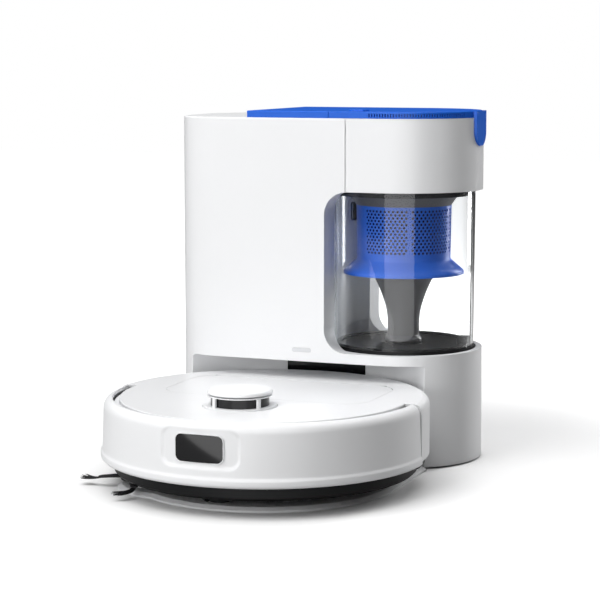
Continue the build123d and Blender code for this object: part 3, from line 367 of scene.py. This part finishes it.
def make_drum(bm):
    """The drum's outer skin with its holes, and the skirt below it."""
    centre = middle("filter_shroud")
    low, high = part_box("filter_shroud")
    skirt_r = high.x - centre.x
    unit = 2 * math.pi / (DRUM_SIDES * SIDE_UNITS)
    half_step = HOLE_ROW_STEP / 2
    lattice_top = FIRST_ROW + half_step
    half_rows = 2 * HOLE_ROWS
    columns = DRUM_SIDES * SIDE_UNITS
    plain_start = PIERCED_SIDES * SIDE_UNITS

    def drum_r(z):
        return lerp(DRUM_BOTTOM_R, DRUM_TOP_R, (z - DRUM_FOOT) / (high.z - DRUM_FOOT))

    def at(column, z, inset=0.0):
        return polar(centre, drum_r(z) - inset, FIRST_SIDE + column * unit, z)

    grid = {}

    def vert(column, row):
        column %= columns
        if (column, row) not in grid:
            grooved = column > plain_start and 0 < row < half_rows and row % 2
            inset = GROOVE if grooved else 0.0
            grid[column, row] = bm.verts.new(at(column, lattice_top - row * half_step, inset))
        return grid[column, row]

    def plain(column, row):
        corners = [(0, 1), (1, 1), (1, 0), (0, 0)]
        bm.faces.new([vert(column + across, row + down) for across, down in corners])

    def pierced(column, row):
        """One cell with a round hole."""
        rim = [(4, 1), (4, 0), (3, 0), (2, 0), (1, 0), (0, 0)]
        rim += [(0, 1), (0, 2), (1, 2), (2, 2), (3, 2), (4, 2)]
        outer = [vert(column + across, row + down) for across, down in rim]
        z = lattice_top - (row + 1) * half_step
        inner = []
        for step in range(HOLE_POINTS):
            turn = 2 * math.pi * step / HOLE_POINTS
            shift = HOLE_R * math.cos(turn) / (drum_r(z) * unit)
            inner.append(bm.verts.new(at(column + CELL_UNITS / 2 + shift, z + HOLE_R * math.sin(turn))))
        for step in range(HOLE_POINTS):
            after = (step + 1) % HOLE_POINTS
            bm.faces.new((inner[step], outer[step], outer[after], inner[after]))

    for side in range(DRUM_SIDES):
        first = side * SIDE_UNITS + 1
        for row in range(0, half_rows, 2):
            if side < PIERCED_SIDES:
                shift = row % CELL_UNITS
                last = first + CELL_UNITS * HOLES_LONG
                for hole in range(HOLES_LONG - (1 if shift else 0)):
                    pierced(first + shift + CELL_UNITS * hole, row)
                spare = [first - 1, last]
                if shift:
                    spare += [first, first + 1, last - 2, last - 1]
            else:
                spare = range(first - 1, first + SIDE_UNITS - 1)
            for column in spare:
                plain(column, row)
                plain(column, row + 1)

    def hoop(radius, z):
        turns = [FIRST_SIDE + column * unit for column in range(columns)]
        return [bm.verts.new(polar(centre, radius, turn, z)) for turn in turns]

    def join(upper, lower):
        for column in range(columns):
            after = (column + 1) % columns
            bm.faces.new((lower[column], lower[after], upper[after], upper[column]))

    join(hoop(DRUM_TOP_R, high.z), [vert(column, 0) for column in range(columns)])
    upper = [vert(column, half_rows) for column in range(columns)]
    foot = [(drum_r(DRUM_FOOT + BEAD_HIGH), DRUM_FOOT + BEAD_HIGH), (DRUM_BOTTOM_R + BEAD_OUT, DRUM_FOOT)]
    flare = []
    for share in (0, 0.33, 0.66, 0.98):
        z = lerp(DRUM_FOOT - FLARE_DROP, low.z + FLARE_FOOT, share)
        flare.append((lerp(DRUM_BOTTOM_R + FLARE_OUT, skirt_r, share), z))
    rim = [(skirt_r, low.z + SKIRT_RIM), (skirt_r, low.z + 0.05 * MM)]
    for radius, z in foot + flare + rim:
        lower = hoop(radius, z)
        join(upper, lower)
        upper = lower


drum = new_piece("cyclone_mesh_drum", make_drum, "dust_canister", SLOT_OF["filter_shroud"],
                 ["filter_shroud"])
thick = drum.modifiers.new("wall", "SOLIDIFY")
thick.thickness = DRUM_WALL
thick.offset = -1.0
settle(drum)


def make_shade_sleeve(bm):
    """A black sleeve inside the drum: painted shade seen through the drum's holes."""
    inside = SHADE_SLEEVE_R - SHADE_SLEEVE_WALL
    outline = [(inside, SHADE_SLEEVE_HIGH), (SHADE_SLEEVE_R, SHADE_SLEEVE_HIGH), (SHADE_SLEEVE_R, SHADE_SLEEVE_LOW), (inside, SHADE_SLEEVE_LOW)]
    lathe(bm, outline, middle("filter_shroud"), closed=True)


# painted shade: the black sleeve darkens the drum's holes
new_piece("drum_shade_sleeve", make_shade_sleeve, "dust_canister", "gloss_black")


# ---- the robot's bumper, its recessed panel and window ------------------------------
BUMPER_SEAM = 0.25 * MM  # the bumper ends this far in front of the robot's axis
PANEL_HALF = 43.5 * MM
PANEL_LOW, PANEL_HIGH = 48.5 * MM, 88.5 * MM
PANEL_CORNER = 12 * MM
PANEL_EDGE = 2.8 * MM
PANEL_DEPTH_LOW, PANEL_DEPTH_HIGH = 2.3 * MM, 0.9 * MM
WINDOW_RIM_R = 0.75 * MM
WINDOW_RIM_OUT = 0.6 * MM  # the bead's middle line runs this far outside the window
WINDOW_RIM_BACK = 0.35 * MM  # and this far behind its face
WINDOW_GAP = 0.2 * MM  # between the window and its hole in the bumper
WINDOW_CORNER = 6.2 * MM
# The bumper's section, as (radius, z) in millimetres
LIP = [(163.5, 31), (172, 31), (174, 33), (174, 38.6), (172.2, 41), (170.8, 84)]
LIP_CUTS = (0.8, 0.9, 1.0, 1.1)  # how far each corner of the lip is rounded
(WALL_FOOT_R, WALL_FOOT), (WALL_TOP_R, WALL_TOP) = LIP[-2:]
WALL_FIRST, WALL_STEP, WALL_STEPS = 2, 1.25, 33  # the heights up the wall, from its foot
WALL_INSIDE_R = 169.2
WALL_OUTSIDE_FROM = WALL_INSIDE_R + 0.3  # points further out than this are on the wall's outside
LIP_THICK = 3
TOP_WIDE, TOP_HIGH, TOP_STEPS = 9.4, 10, 12  # the quarter round on top of the wall, outside
HOLLOW_WIDE, HOLLOW_HIGH, HOLLOW_STEPS = 6.2, 6.6, 6  # and inside
# The bumper's columns are closer together round the panel
PANEL_SPAN = 22.5  # degrees either side
COARSE_STEP, FINE_STEP = 1.5, 0.45
COARSE_COLUMNS, FINE_COLUMNS = 46, 99


def panel_depth(along, z):
    """How far the panel round the window is set in, at a place on the bumper."""
    middle_z = (PANEL_LOW + PANEL_HIGH) / 2
    past_x = abs(along) - PANEL_HALF + PANEL_CORNER
    past_z = abs(z - middle_z) - (PANEL_HIGH - PANEL_LOW) / 2 + PANEL_CORNER
    outside = math.hypot(max(past_x, 0), max(past_z, 0)) + min(max(past_x, past_z), 0) - PANEL_CORNER
    depth = lerp(PANEL_DEPTH_LOW, PANEL_DEPTH_HIGH, (z - PANEL_LOW) / (PANEL_HIGH - PANEL_LOW))
    return depth * smoothstep(-outside / PANEL_EDGE)


def bumper_outline():
    """The bumper's section as (radius, z) in millimetres, outside first, from the foot up."""
    outline = [LIP[0]]
    for before, corner, after, cut in zip(LIP, LIP[1:], LIP[2:], LIP_CUTS):
        outline += rounded_corner(before, corner, after, cut)
    for step in range(WALL_STEPS):
        z = WALL_FOOT + WALL_FIRST + WALL_STEP * step
        outline.append((lerp(WALL_FOOT_R, WALL_TOP_R, (z - WALL_FOOT) / (WALL_TOP - WALL_FOOT)), z))
    for step in range(TOP_STEPS + 1):
        turn = math.radians(90 * step / TOP_STEPS)
        outline.append((WALL_TOP_R - TOP_WIDE * (1 - math.cos(turn)), WALL_TOP + TOP_HIGH * math.sin(turn)))
    for step in range(HOLLOW_STEPS + 1):
        turn = math.radians(90 - 90 * step / HOLLOW_STEPS)
        radius = WALL_TOP_R - TOP_WIDE + HOLLOW_WIDE * math.cos(turn)
        outline.append((radius, WALL_TOP + HOLLOW_HIGH * math.sin(turn)))
    foot_r, foot = LIP[0]
    outline += [(WALL_INSIDE_R, WALL_FOOT), (WALL_INSIDE_R, foot + LIP_THICK), (foot_r, foot + LIP_THICK)]
    return drop_repeats(outline)


def make_bumper(bm):
    """The bumper's section swept round the robot's front half, with its panel set in."""
    outline = [(radius * MM, z * MM) for radius, z in bumper_outline()]
    coarse = [PANEL_SPAN + COARSE_STEP * step for step in range(COARSE_COLUMNS)]
    fine = [-PANEL_SPAN + FINE_STEP * step for step in range(1, FINE_COLUMNS + 1)]
    rows = []
    for angle in [-angle for angle in reversed(coarse)] + fine + coarse:
        row = []
        for radius, z in outline:
            limit = math.pi / 2 - math.asin(BUMPER_SEAM / radius)
            turn = max(-limit, min(limit, math.radians(angle)))
            if radius > WALL_OUTSIDE_FROM * MM and z > WALL_FOOT * MM:
                radius -= panel_depth(turn * radius, z)
            row.append(polar(robot_axis, radius, turn - math.pi / 2, z))
        rows.append(row)
    made = loft(bm, rows)
    bm.faces.new(made[0])
    bm.faces.new(list(reversed(made[-1])))


def rounded_rectangle(width, height, corner, steps=8):
    """Points round a rounded rectangle, anticlockwise from its right side."""
    points = []
    for quarter, (x, z) in enumerate(((1, 1), (-1, 1), (-1, -1), (1, -1))):
        for step in range(steps + 1):
            turn = math.radians(90 * (quarter + step / steps))
            points.append((x * (width / 2 - corner) + corner * math.cos(turn),
                           z * (height / 2 - corner) + corner * math.sin(turn)))
    return points


def make_window_cutter(bm):
    """The block that cuts the window's hole."""
    low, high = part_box("bumper_window")
    centre = middle("bumper_window")
    width, height = high.x - low.x + 2 * WINDOW_GAP, high.z - low.z + 2 * WINDOW_GAP
    outline = rounded_rectangle(width, height, WINDOW_CORNER)
    ends = (low.y - 20 * MM, high.y + 10 * MM)
    rows = [[(centre.x + x, y, centre.z + z) for x, z in outline] for y in ends]
    loft(bm, rows, cap=True)


bumper = new_piece("bumper_skin", make_bumper, "bumper", SLOT_OF["bumper"], ["bumper"])
cutter = new_piece("window_cutter", make_window_cutter, "bumper", SLOT_OF["bumper"])
hole = bumper.modifiers.new("window_hole", "BOOLEAN")
hole.operation = "DIFFERENCE"
hole.solver = "EXACT"
hole.object = cutter
settle(bumper)
bpy.data.objects.remove(cutter)


def make_window_rim(bm):
    """A fine white bead round the front window."""
    low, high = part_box("bumper_window")
    centre = middle("bumper_window")
    front_r = robot_axis.y - low.y
    width, height = high.x - low.x + 2 * WINDOW_RIM_OUT, high.z - low.z + 2 * WINDOW_RIM_OUT
    outline = rounded_rectangle(width, height, WINDOW_CORNER + 2 * WINDOW_GAP, steps=6)
    forward = Vector((0, -1, 0))
    rows = []
    for index, (x, z) in enumerate(outline):
        before, after = outline[index - 1], outline[(index + 1) % len(outline)]
        out = Vector((after[1] - before[1], 0, before[0] - after[0])).normalized()
        face_y = robot_axis.y - math.sqrt(front_r ** 2 - x ** 2)
        place = Vector((x, face_y + WINDOW_RIM_BACK, centre.z + z))
        row = []
        for side in range(8):
            turn = 2 * math.pi * side / 8
            row.append(place + (out * math.cos(turn) + forward * math.sin(turn)) * WINDOW_RIM_R)
        rows.append(row)
    rows.append(rows[0])
    made = loft(bm, rows)
    weld(bm, made)


new_piece("window_rim", make_window_rim, "bumper", "white_shell")


LEDGE_IN, LEDGE_OUT = 150 * MM, 159.4 * MM
LEDGE_LOW, LEDGE_TOP = 88.04 * MM, 88.7 * MM
LEDGE_FROM, LEDGE_STEP, LEDGE_COLUMNS = -175, 2, 86  # degrees from +X, degrees, and how many


def make_ledge(bm):
    """The light ledge seen in the gap between the deck and the bumper, round the front half."""
    outline = [(LEDGE_IN, LEDGE_LOW), (LEDGE_OUT, LEDGE_LOW), (LEDGE_OUT, LEDGE_TOP), (LEDGE_IN, LEDGE_TOP)]
    angles = [math.radians(LEDGE_FROM + LEDGE_STEP * step) for step in range(LEDGE_COLUMNS)]
    rows = [[polar(robot_axis, radius, angle, z) for radius, z in outline] for angle in angles]
    loft(bm, rows, cap=True)


new_piece("bumper_gap_ledge", make_ledge, "robot", "light_grey")


# ---- side brush: hub, three rubber arms and their bristle tufts ------------------------
BRUSH_ARMS = 3
BRUSH_FIRST = math.pi  # the first arm points along -X
BRUSH_ARM_R = 36 * MM
BRUSH_TIP_R = 61.5 * MM
TUFT_FAN = math.radians(6.5)  # half the angle that a tuft spreads over at its tip
TUFT_ROOT = math.radians(3.2)  # and at its root
TUFT_LEAN = (-2, -18, 6)  # degrees that each arm's tuft is bent round
TUFT_SAG = 1.3 * MM
BRISTLES = 34
BRISTLE_R = (0.55, 0.5, 0.48, 0.45, 0.42, 0.36, 0.2)  # millimetres, from the root to the tip
# The hub's section as (radius, z), and an arm as (distance out, z, radius), in millimetres
HUB = [(0.01, 9.2), (3.0, 9.2), (3.4, 9.8), (6.0, 9.8), (6.6, 9.2), (10.2, 9.3), (11.6, 10.2), (12.0, 11.8),
       (11.2, 14.2), (9.0, 15.0), (3.0, 15.0), (3.0, 29.8), (0.01, 29.8)]
ARM = [(7, 12.6, 5.2), (14, 12.7, 5.0), (22, 12.0, 4.6), (30, 10.9, 4.2), (36, 10.1, 4.0), (38.5, 9.8, 3.0)]
random.seed(7)


def arm_angle(arm):
    """Which way an arm points, from +X."""
    return BRUSH_FIRST + 2 * math.pi * arm / BRUSH_ARMS


def make_brush_hub(bm):
    """The side brush's hub and its rubber arms."""
    place = JOINT_PLACE["side_brush_spin"]
    lathe(bm, [(radius * MM, z * MM) for radius, z in HUB], place, steps=40)
    for arm in range(BRUSH_ARMS):
        angle = arm_angle(arm)
        across = Vector((-math.sin(angle), math.cos(angle), 0))
        path = [polar(place, out * MM, angle, z * MM) for out, z, radius in ARM]
        tube(bm, path, [radius * MM for out, z, radius in ARM], sides=12, flat=0.4, side_way=across)


def make_bristles(bm):
    """The tufts at the ends of the arms, bristle by bristle."""
    place = JOINT_PLACE["side_brush_spin"]
    for arm in range(BRUSH_ARMS):
        lean = math.radians(TUFT_LEAN[arm])
        for bristle in range(BRISTLES):
            across = 2 * bristle / (BRISTLES - 1) - 1
            fan = lean + TUFT_FAN * across + math.radians(random.uniform(-1, 1))
            reach = BRUSH_TIP_R - random.uniform(0, 4) * MM - 2 * MM * abs(across)
            tip_z = random.uniform(6.0, 9.6) * MM
            path = []
            for step in range(len(BRISTLE_R)):
                share = step / (len(BRISTLE_R) - 1)
                radius = lerp(BRUSH_ARM_R - 3 * MM, reach, share)
                angle = arm_angle(arm) + TUFT_ROOT * across * (1 - share) + fan * share ** 1.6
                z = lerp(10 * MM, tip_z, share) - TUFT_SAG * math.sin(math.pi * share)
                path.append(polar(place, radius, angle, z))
            tube(bm, path, [radius * MM for radius in BRISTLE_R], sides=5)


new_piece("side_brush_hub", make_brush_hub, "side_brush", "rubber_black", ["side_brush"])
new_piece("side_brush_bristles", make_bristles, "side_brush", "bristle", sharp=80)


# ---- grip ridges on the ramp ----------------------------------------------------------
RIDGE_HALF = 0.8 * MM
RIDGE_HIGH = 0.7 * MM
RIDGE_ROOT = 0.2 * MM  # how deep a ridge sits in the ramp
RAMP_TOP = 5 * MM
# The short ridges: where the first starts and ends, how far in front of the robot's axis
SHORT_RIDGES, SHORT_STEP = 6, 5 * MM
SHORT_FROM, SHORT_TO, SHORT_FRONT = -122 * MM, -92 * MM, 67 * MM
SHORT_SHIFT = 3 * MM
# The long ridges fan out from a line that leans back to the right
LONG_RIDGES = 8
LONG_FROM, LONG_FRONT = 58 * MM, 108 * MM
LONG_STEP_X, LONG_STEP_Y = 5.5 * MM, 6.2 * MM
LONG_LENGTH = 62 * MM
LONG_LEAN = math.radians(77)


def ridge(bm, start, end):
    """A low rounded ridge with tapered ends between two plan points."""
    along = (end - start).normalized()
    across = Vector((-along.y, along.x, 0))
    length = (end - start).length
    rows = []
    for share in (0, 0.02, 0.06, 0.5, 0.94, 0.98, 1):
        size = min(1.0, 0.15 + min(share, 1 - share) * 14)
        place = start + along * length * share
        row = []
        for turn in range(7):
            angle = math.pi * turn / 6
            rise = RAMP_TOP - RIDGE_ROOT + (RIDGE_HIGH + RIDGE_ROOT) * size * math.sin(angle)
            row.append(place + across * RIDGE_HALF * size * math.cos(angle) + UP * rise)
        rows.append(row)
    loft(bm, rows, cap=True)


def make_ramp_ridges(bm):
    """Grip ridges on the ramp: a short group by the side brush, a fan of long ones at the right."""
    for step in range(SHORT_RIDGES):
        y = robot_axis.y - SHORT_FRONT - SHORT_STEP * step
        shift = SHORT_SHIFT * step
        ridge(bm, Vector((SHORT_FROM + shift, y, 0)), Vector((SHORT_TO + shift / 2, y, 0)))
    along = Vector((math.cos(LONG_LEAN), math.sin(LONG_LEAN), 0))
    for step in range(LONG_RIDGES):
        start = Vector((LONG_FROM + LONG_STEP_X * step, robot_axis.y - LONG_FRONT + LONG_STEP_Y * step, 0))
        ridge(bm, start, start + along * LONG_LENGTH)


new_piece("ramp_ridges", make_ramp_ridges, "station", SLOT_OF["docking_ramp"])


# ---- pieces inside: filter pleats, button spring, main brush, tyres ----------------------
PLEATS = 72
PLEAT_ENDS = (321 * MM, 369.6 * MM)
PLEATS_OUTSIDE = (72.5 * MM, 61 * MM)  # the zigzag's two radii
PLEATS_INSIDE = (44 * MM, 33 * MM)
PLATE_BORE = 30.2 * MM
# The end plates' sections as (radius, height above or below the filter's end), in millimetres
TOP_PLATE = [(73.2, -2.5), (73.8, -1.5), (73.0, -0.2), (31, -0.2), (30.2, -1)]
FOOT_PLATE = [(73.6, 6), (73.8, 3.2), (77.6, 2.8), (77.8, 0.4), (66.4, 0.2), (65, 3.2), (30.2, 3.2)]


def make_filter(bm):
    """The filter's pleated paper: one zigzag wall outside and one inside."""
    centre = middle("hepa_filter")

    def zigzag(ridge_r, valley_r, z):
        return [polar(centre, ridge_r if step % 2 else valley_r, math.pi * step / PLEATS, z)
                for step in range(2 * PLEATS)]

    loft(bm, [zigzag(*PLEATS_OUTSIDE, z) for z in PLEAT_ENDS])
    loft(bm, [zigzag(*PLEATS_INSIDE, z) for z in reversed(PLEAT_ENDS)])


def make_filter_plates(bm):
    """The moulded plates that hold the pleats."""
    centre = middle("hepa_filter")
    low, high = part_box("hepa_filter")
    for plate, end in ((TOP_PLATE, high.z), (FOOT_PLATE, low.z)):
        outline = [(PLATE_BORE, end + plate[0][1] * MM)]
        outline += [(radius * MM, end + above * MM) for radius, above in plate]
        lathe(bm, outline, centre, closed=True)


new_piece("filter_pleats", make_filter, "dust_canister", SLOT_OF["hepa_filter"], ["hepa_filter"], sharp=80)
new_piece("filter_plates", make_filter_plates, "dust_canister", "light_grey")


SPRING_TURNS = 3.5
SPRING_R = 4.3 * MM
SPRING_WIRE = 0.28 * MM  # half the wire's thickness


def make_spring(bm):
    """The button's return spring: three and a half turns of wire."""
    centre = middle("button_spring")
    low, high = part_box("button_spring")
    steps = int(SPRING_TURNS * 16)
    path = []
    for step in range(steps + 1):
        share = step / steps
        z = lerp(low.z + 1.2 * SPRING_WIRE, high.z - 1.2 * SPRING_WIRE, share)
        path.append(polar(centre, SPRING_R, 2 * math.pi * SPRING_TURNS * share, z))
    tube(bm, path, SPRING_WIRE, sides=6)


spring = new_piece("button_coil", make_spring, "filter_lid", SLOT_OF["button_spring"], ["button_spring"])
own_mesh(spring)


BRUSH_FINS = 6
BRUSH_CORE_R = 9.2 * MM
FIN_TWIST = math.radians(95)
FIN_SHARE = 0.17  # half a fin's width as a share of the step between fins
FIN_CLEAR = 0.15 * MM  # how far the fins stay inside the CAD brush
AXLE_R, AXLE_LENGTH = 4 * MM, 3 * MM


def make_main_brush(bm):
    """A rubber core with six fins that wind round it in a shallow V."""
    centre = JOINT_PLACE["main_brush_spin"]
    low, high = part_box("main_brush")
    half = (high.x - low.x) / 2 - AXLE_LENGTH
    steps = 48
    fin_r = (high.z - low.z) / 2 - FIN_CLEAR

    def ring_at(x, radius_of):
        row = []
        for part in range(72):
            angle = 2 * math.pi * part / 72
            radius = radius_of(angle)
            row.append(Vector((x, centre.y + radius * math.cos(angle),
                               centre.z + radius * math.sin(angle))))
        return row

    def fins(x):
        twist = FIN_TWIST * (1 - abs(x) / half)

        def radius_of(angle):
            nearest = ((angle - twist) / (2 * math.pi / BRUSH_FINS) + 0.5) % 1 - 0.5
            peak = max(0.0, 1 - abs(nearest) / FIN_SHARE)
            return lerp(BRUSH_CORE_R, fin_r, min(1.0, peak * 1.6))
        return radius_of

    places = [lerp(-half, half, step / steps) for step in range(steps + 1)]
    loft(bm, [ring_at(x, fins(x)) for x in places], cap=True)
    for side in (-1, 1):
        ends = (half - 1 * MM, half + AXLE_LENGTH - 0.2 * MM)
        rows = [ring_at(side * x, lambda angle: AXLE_R) for x in ends]
        loft(bm, rows if side > 0 else rows[::-1], cap=True)


new_piece("winding_brush", make_main_brush, "main_brush", SLOT_OF["main_brush"], ["main_brush"], sharp=50)


LUGS = 24
LUG_PARTS = 6
LUG_SHARE = 0.62  # how much of each step round the tyre is lug
LUG_SWEEP = 1.2
LUG_HIGH = 1.5 * MM
TYRE_THICK = 7 * MM
TREAD = [0, 0.06, 0.14, 0.28, 0.4, 0.5, 0.6, 0.72, 0.86, 0.94, 1]  # places across the tread
TREAD_EDGE = {0: 1.6 * MM, 0.06: 0.4 * MM, 0.94: 0.4 * MM, 1: 1.6 * MM}  # how the shoulders fall away


def make_tyre(bm, node, joint):
    """A tyre with chevron lugs."""
    low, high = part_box(node)
    centre = JOINT_PLACE[joint]
    outer = (high.z - low.z) / 2
    inner = outer - TYRE_THICK
    steps = LUGS * LUG_PARTS
    rows = []
    for step in range(steps):
        angle = 2 * math.pi * step / steps
        row = [(0.0, inner)]
        for share in TREAD:
            sweep = abs(share - 0.5) * LUG_SWEEP
            lug = (step / LUG_PARTS - sweep) % 1 < LUG_SHARE
            row.append((share, outer - (0 if lug else LUG_HIGH) - TREAD_EDGE.get(share, 0)))
        row.append((1.0, inner))
        rows.append([Vector((lerp(low.x, high.x, share), centre.y + radius * math.cos(angle),
                             centre.z + radius * math.sin(angle))) for share, radius in row])
    rows.append(rows[0])
    made = loft(bm, rows)
    weld(bm, made)


for side in ("left", "right"):
    new_piece(f"chevron_tyre_{side}",
              lambda bm, side=side: make_tyre(bm, f"tyre_{side}", f"{side}_wheel_spin"),
              f"{side}_wheel", SLOT_OF[f"tyre_{side}"], [f"tyre_{side}"], sharp=30)

# ---- floor, light and camera -----------------------------------------------------------
FLOOR_HALF = 6.0
GLOW_START, GLOW_END = 0.3, 0.9  # metres from the origin over which the floor turns to a lit cove
FLOOR_BOUNCE = 0.45  # the share of the floor's light that reaches the object


def seen_share(tree, unseen=0.0):
    """1 where the view looks straight or through clear plastic, unseen after a reflection."""
    path = add_node(tree, "ShaderNodeLightPath")
    depths = {0: path.outputs["Diffuse Depth"], 1: path.outputs["Glossy Depth"]}
    bounces = add_node(tree, "ShaderNodeMath", depths, operation="ADD")
    inputs = {"Value": bounces.outputs["Value"], "To Min": 1.0, "To Max": unseen}
    return add_node(tree, "ShaderNodeMapRange", inputs).outputs["Result"]


def cove_material(name):
    """Matt white paper near the object, which glows further out like a lit studio cove."""
    material = bpy.data.materials.new(name)
    material.use_nodes = True
    tree = material.node_tree
    shader = tree.nodes["Principled BSDF"]
    shader.inputs["Roughness"].default_value = 0.9
    shader.inputs["Specular IOR Level"].default_value = 0.1
    far = add_node(tree, "ShaderNodeVectorMath", {0: object_place(tree)}, operation="LENGTH")
    glow = add_node(tree, "ShaderNodeMapRange", {"Value": far.outputs["Value"], "From Min": GLOW_START,
                    "From Max": GLOW_END, "To Max": 1.0}, interpolation_type="SMOOTHSTEP")
    shader.inputs["Emission Color"].default_value = (1, 1, 1, 1)
    strength = add_node(tree, "ShaderNodeMath", {0: glow.outputs["Result"], 1: seen_share(tree)},
                        operation="MULTIPLY")
    shade = tint(tree, seen_share(tree, FLOOR_BOUNCE), (0, 0, 0), (0.95, 0.95, 0.95))
    tree.links.new(shade, shader.inputs["Base Color"])
    tree.links.new(strength.outputs["Value"], shader.inputs["Emission Strength"])
    return material


floor_mesh = bpy.data.meshes.new("floor")
corners = [(x * FLOOR_HALF, y * FLOOR_HALF, -0.2 * MM) for x, y in ((-1, -1), (1, -1), (1, 1), (-1, 1))]
floor_mesh.from_pydata(corners, [], [(0, 1, 2, 3)])
floor = bpy.data.objects.new("floor", floor_mesh)
bpy.context.scene.collection.objects.link(floor)
floor_mesh.materials.append(cove_material("floor_paper"))


def soft_box(name, place, target, size, power):
    """A rectangular area lamp at place, turned to target."""
    lamp = bpy.data.lights.new(name, "AREA")
    lamp.shape = "RECTANGLE"
    lamp.size, lamp.size_y = size
    lamp.energy = power
    made = bpy.data.objects.new(name, lamp)
    made.location = place
    made.rotation_euler = (Vector(target) - Vector(place)).to_track_quat("-Z", "Y").to_euler()
    bpy.context.scene.collection.objects.link(made)
    return made


soft_box("top", (0.0, -0.2, 2.2), (0, -0.2, 0), (2.6, 2.6), 43)
for name, place, target, size, power in (
        ("top_front_left", (-0.7, -1.35, 2.0), (0, -0.1, 0.1), (1.8, 1.8), 29),
        ("front_low", (-0.9, -2.2, 0.5), (0, -0.1, 0.12), (1.8, 0.8), 19),
        ("right_edge", (0.9, 1.5, 0.6), (0.1, 0, 0.2), (0.3, 1.2), 20)):
    soft_box(name, place, target, size, power).visible_glossy = False

# Two cards are seen only as reflections: an upright one in the clear cup, a slanted one in the window.
CUP_CARD_FAR, CUP_CARD_ANGLE, CUP_CARD_MIDDLE = 0.95, math.radians(-78), 0.5
WINDOW_CARD_FAR, WINDOW_CARD_ANGLE, WINDOW_CARD_DROP = 0.2, math.radians(-112), 41 * MM
WINDOW_CARD_SLANT = math.radians(12)
WINDOW_CARD_HALF = 50 * MM

cup_axis = middle("canister_cup")
card_place = polar(cup_axis, CUP_CARD_FAR, CUP_CARD_ANGLE, CUP_CARD_MIDDLE)
card = soft_box("cup_reflection", card_place, (cup_axis.x, cup_axis.y, CUP_CARD_MIDDLE), (0.81, 1.0), 8)
window = middle("bumper_window")
window.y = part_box("bumper_window")[0].y
strip_place = polar(window, WINDOW_CARD_FAR, WINDOW_CARD_ANGLE, window.z - WINDOW_CARD_DROP)
strip_place += Vector((WINDOW_CARD_HALF * math.sin(WINDOW_CARD_SLANT), 0, WINDOW_CARD_HALF))
strip = soft_box("window_reflection", strip_place, (window.x, window.y, strip_place.z),
                 (0.4, 2 * WINDOW_CARD_HALF), 0.3)
strip.rotation_euler.rotate_axis("Z", -WINDOW_CARD_SLANT)
for mirrored in (card, strip):
    mirrored.visible_camera = mirrored.visible_diffuse = mirrored.visible_transmission = False

world = bpy.data.worlds.new("studio")
bpy.context.scene.world = world
world.use_nodes = True
tree = world.node_tree
around = tree.nodes["Background"]
around.inputs["Color"].default_value = (1, 1, 1, 1)
around.inputs["Strength"].default_value = 0.03
seen = add_node(tree, "ShaderNodeBackground", {"Color": (1, 1, 1, 1), "Strength": 1.0})
mix = add_node(tree, "ShaderNodeMixShader", {"Fac": seen_share(tree)})
tree.links.new(around.outputs["Background"], mix.inputs[1])
tree.links.new(seen.outputs["Background"], mix.inputs[2])
tree.links.new(mix.outputs["Shader"], tree.nodes["World Output"].inputs["Surface"])

scene = bpy.context.scene
scene.view_settings.view_transform = "Standard"
scene.cycles.caustics_reflective = False
scene.cycles.caustics_refractive = False
scene.cycles.transparent_max_bounces = 16
scene.cycles.transmission_bounces = 12

CAMERA_PLACE = Vector((0.78324, -2.04824, 0.44955))
CAMERA_AZIMUTH = math.radians(21.6126)
CAMERA_TILT = math.radians(5.4505)  # below the level
CAMERA_SHIFT = (-0.0157, -0.1)  # shares of the picture's width
FOCAL_RATIO = 3.2168  # the focal length over the picture's width
camera_data = bpy.data.cameras.new("camera")
camera_data.sensor_width = 36.0
camera_data.lens = camera_data.sensor_width * FOCAL_RATIO
camera_data.shift_x, camera_data.shift_y = CAMERA_SHIFT
camera = bpy.data.objects.new("camera", camera_data)
camera.location = CAMERA_PLACE
camera.rotation_euler = (math.pi / 2 - CAMERA_TILT, 0, CAMERA_AZIMUTH)
bpy.context.scene.collection.objects.link(camera)
scene.camera = camera
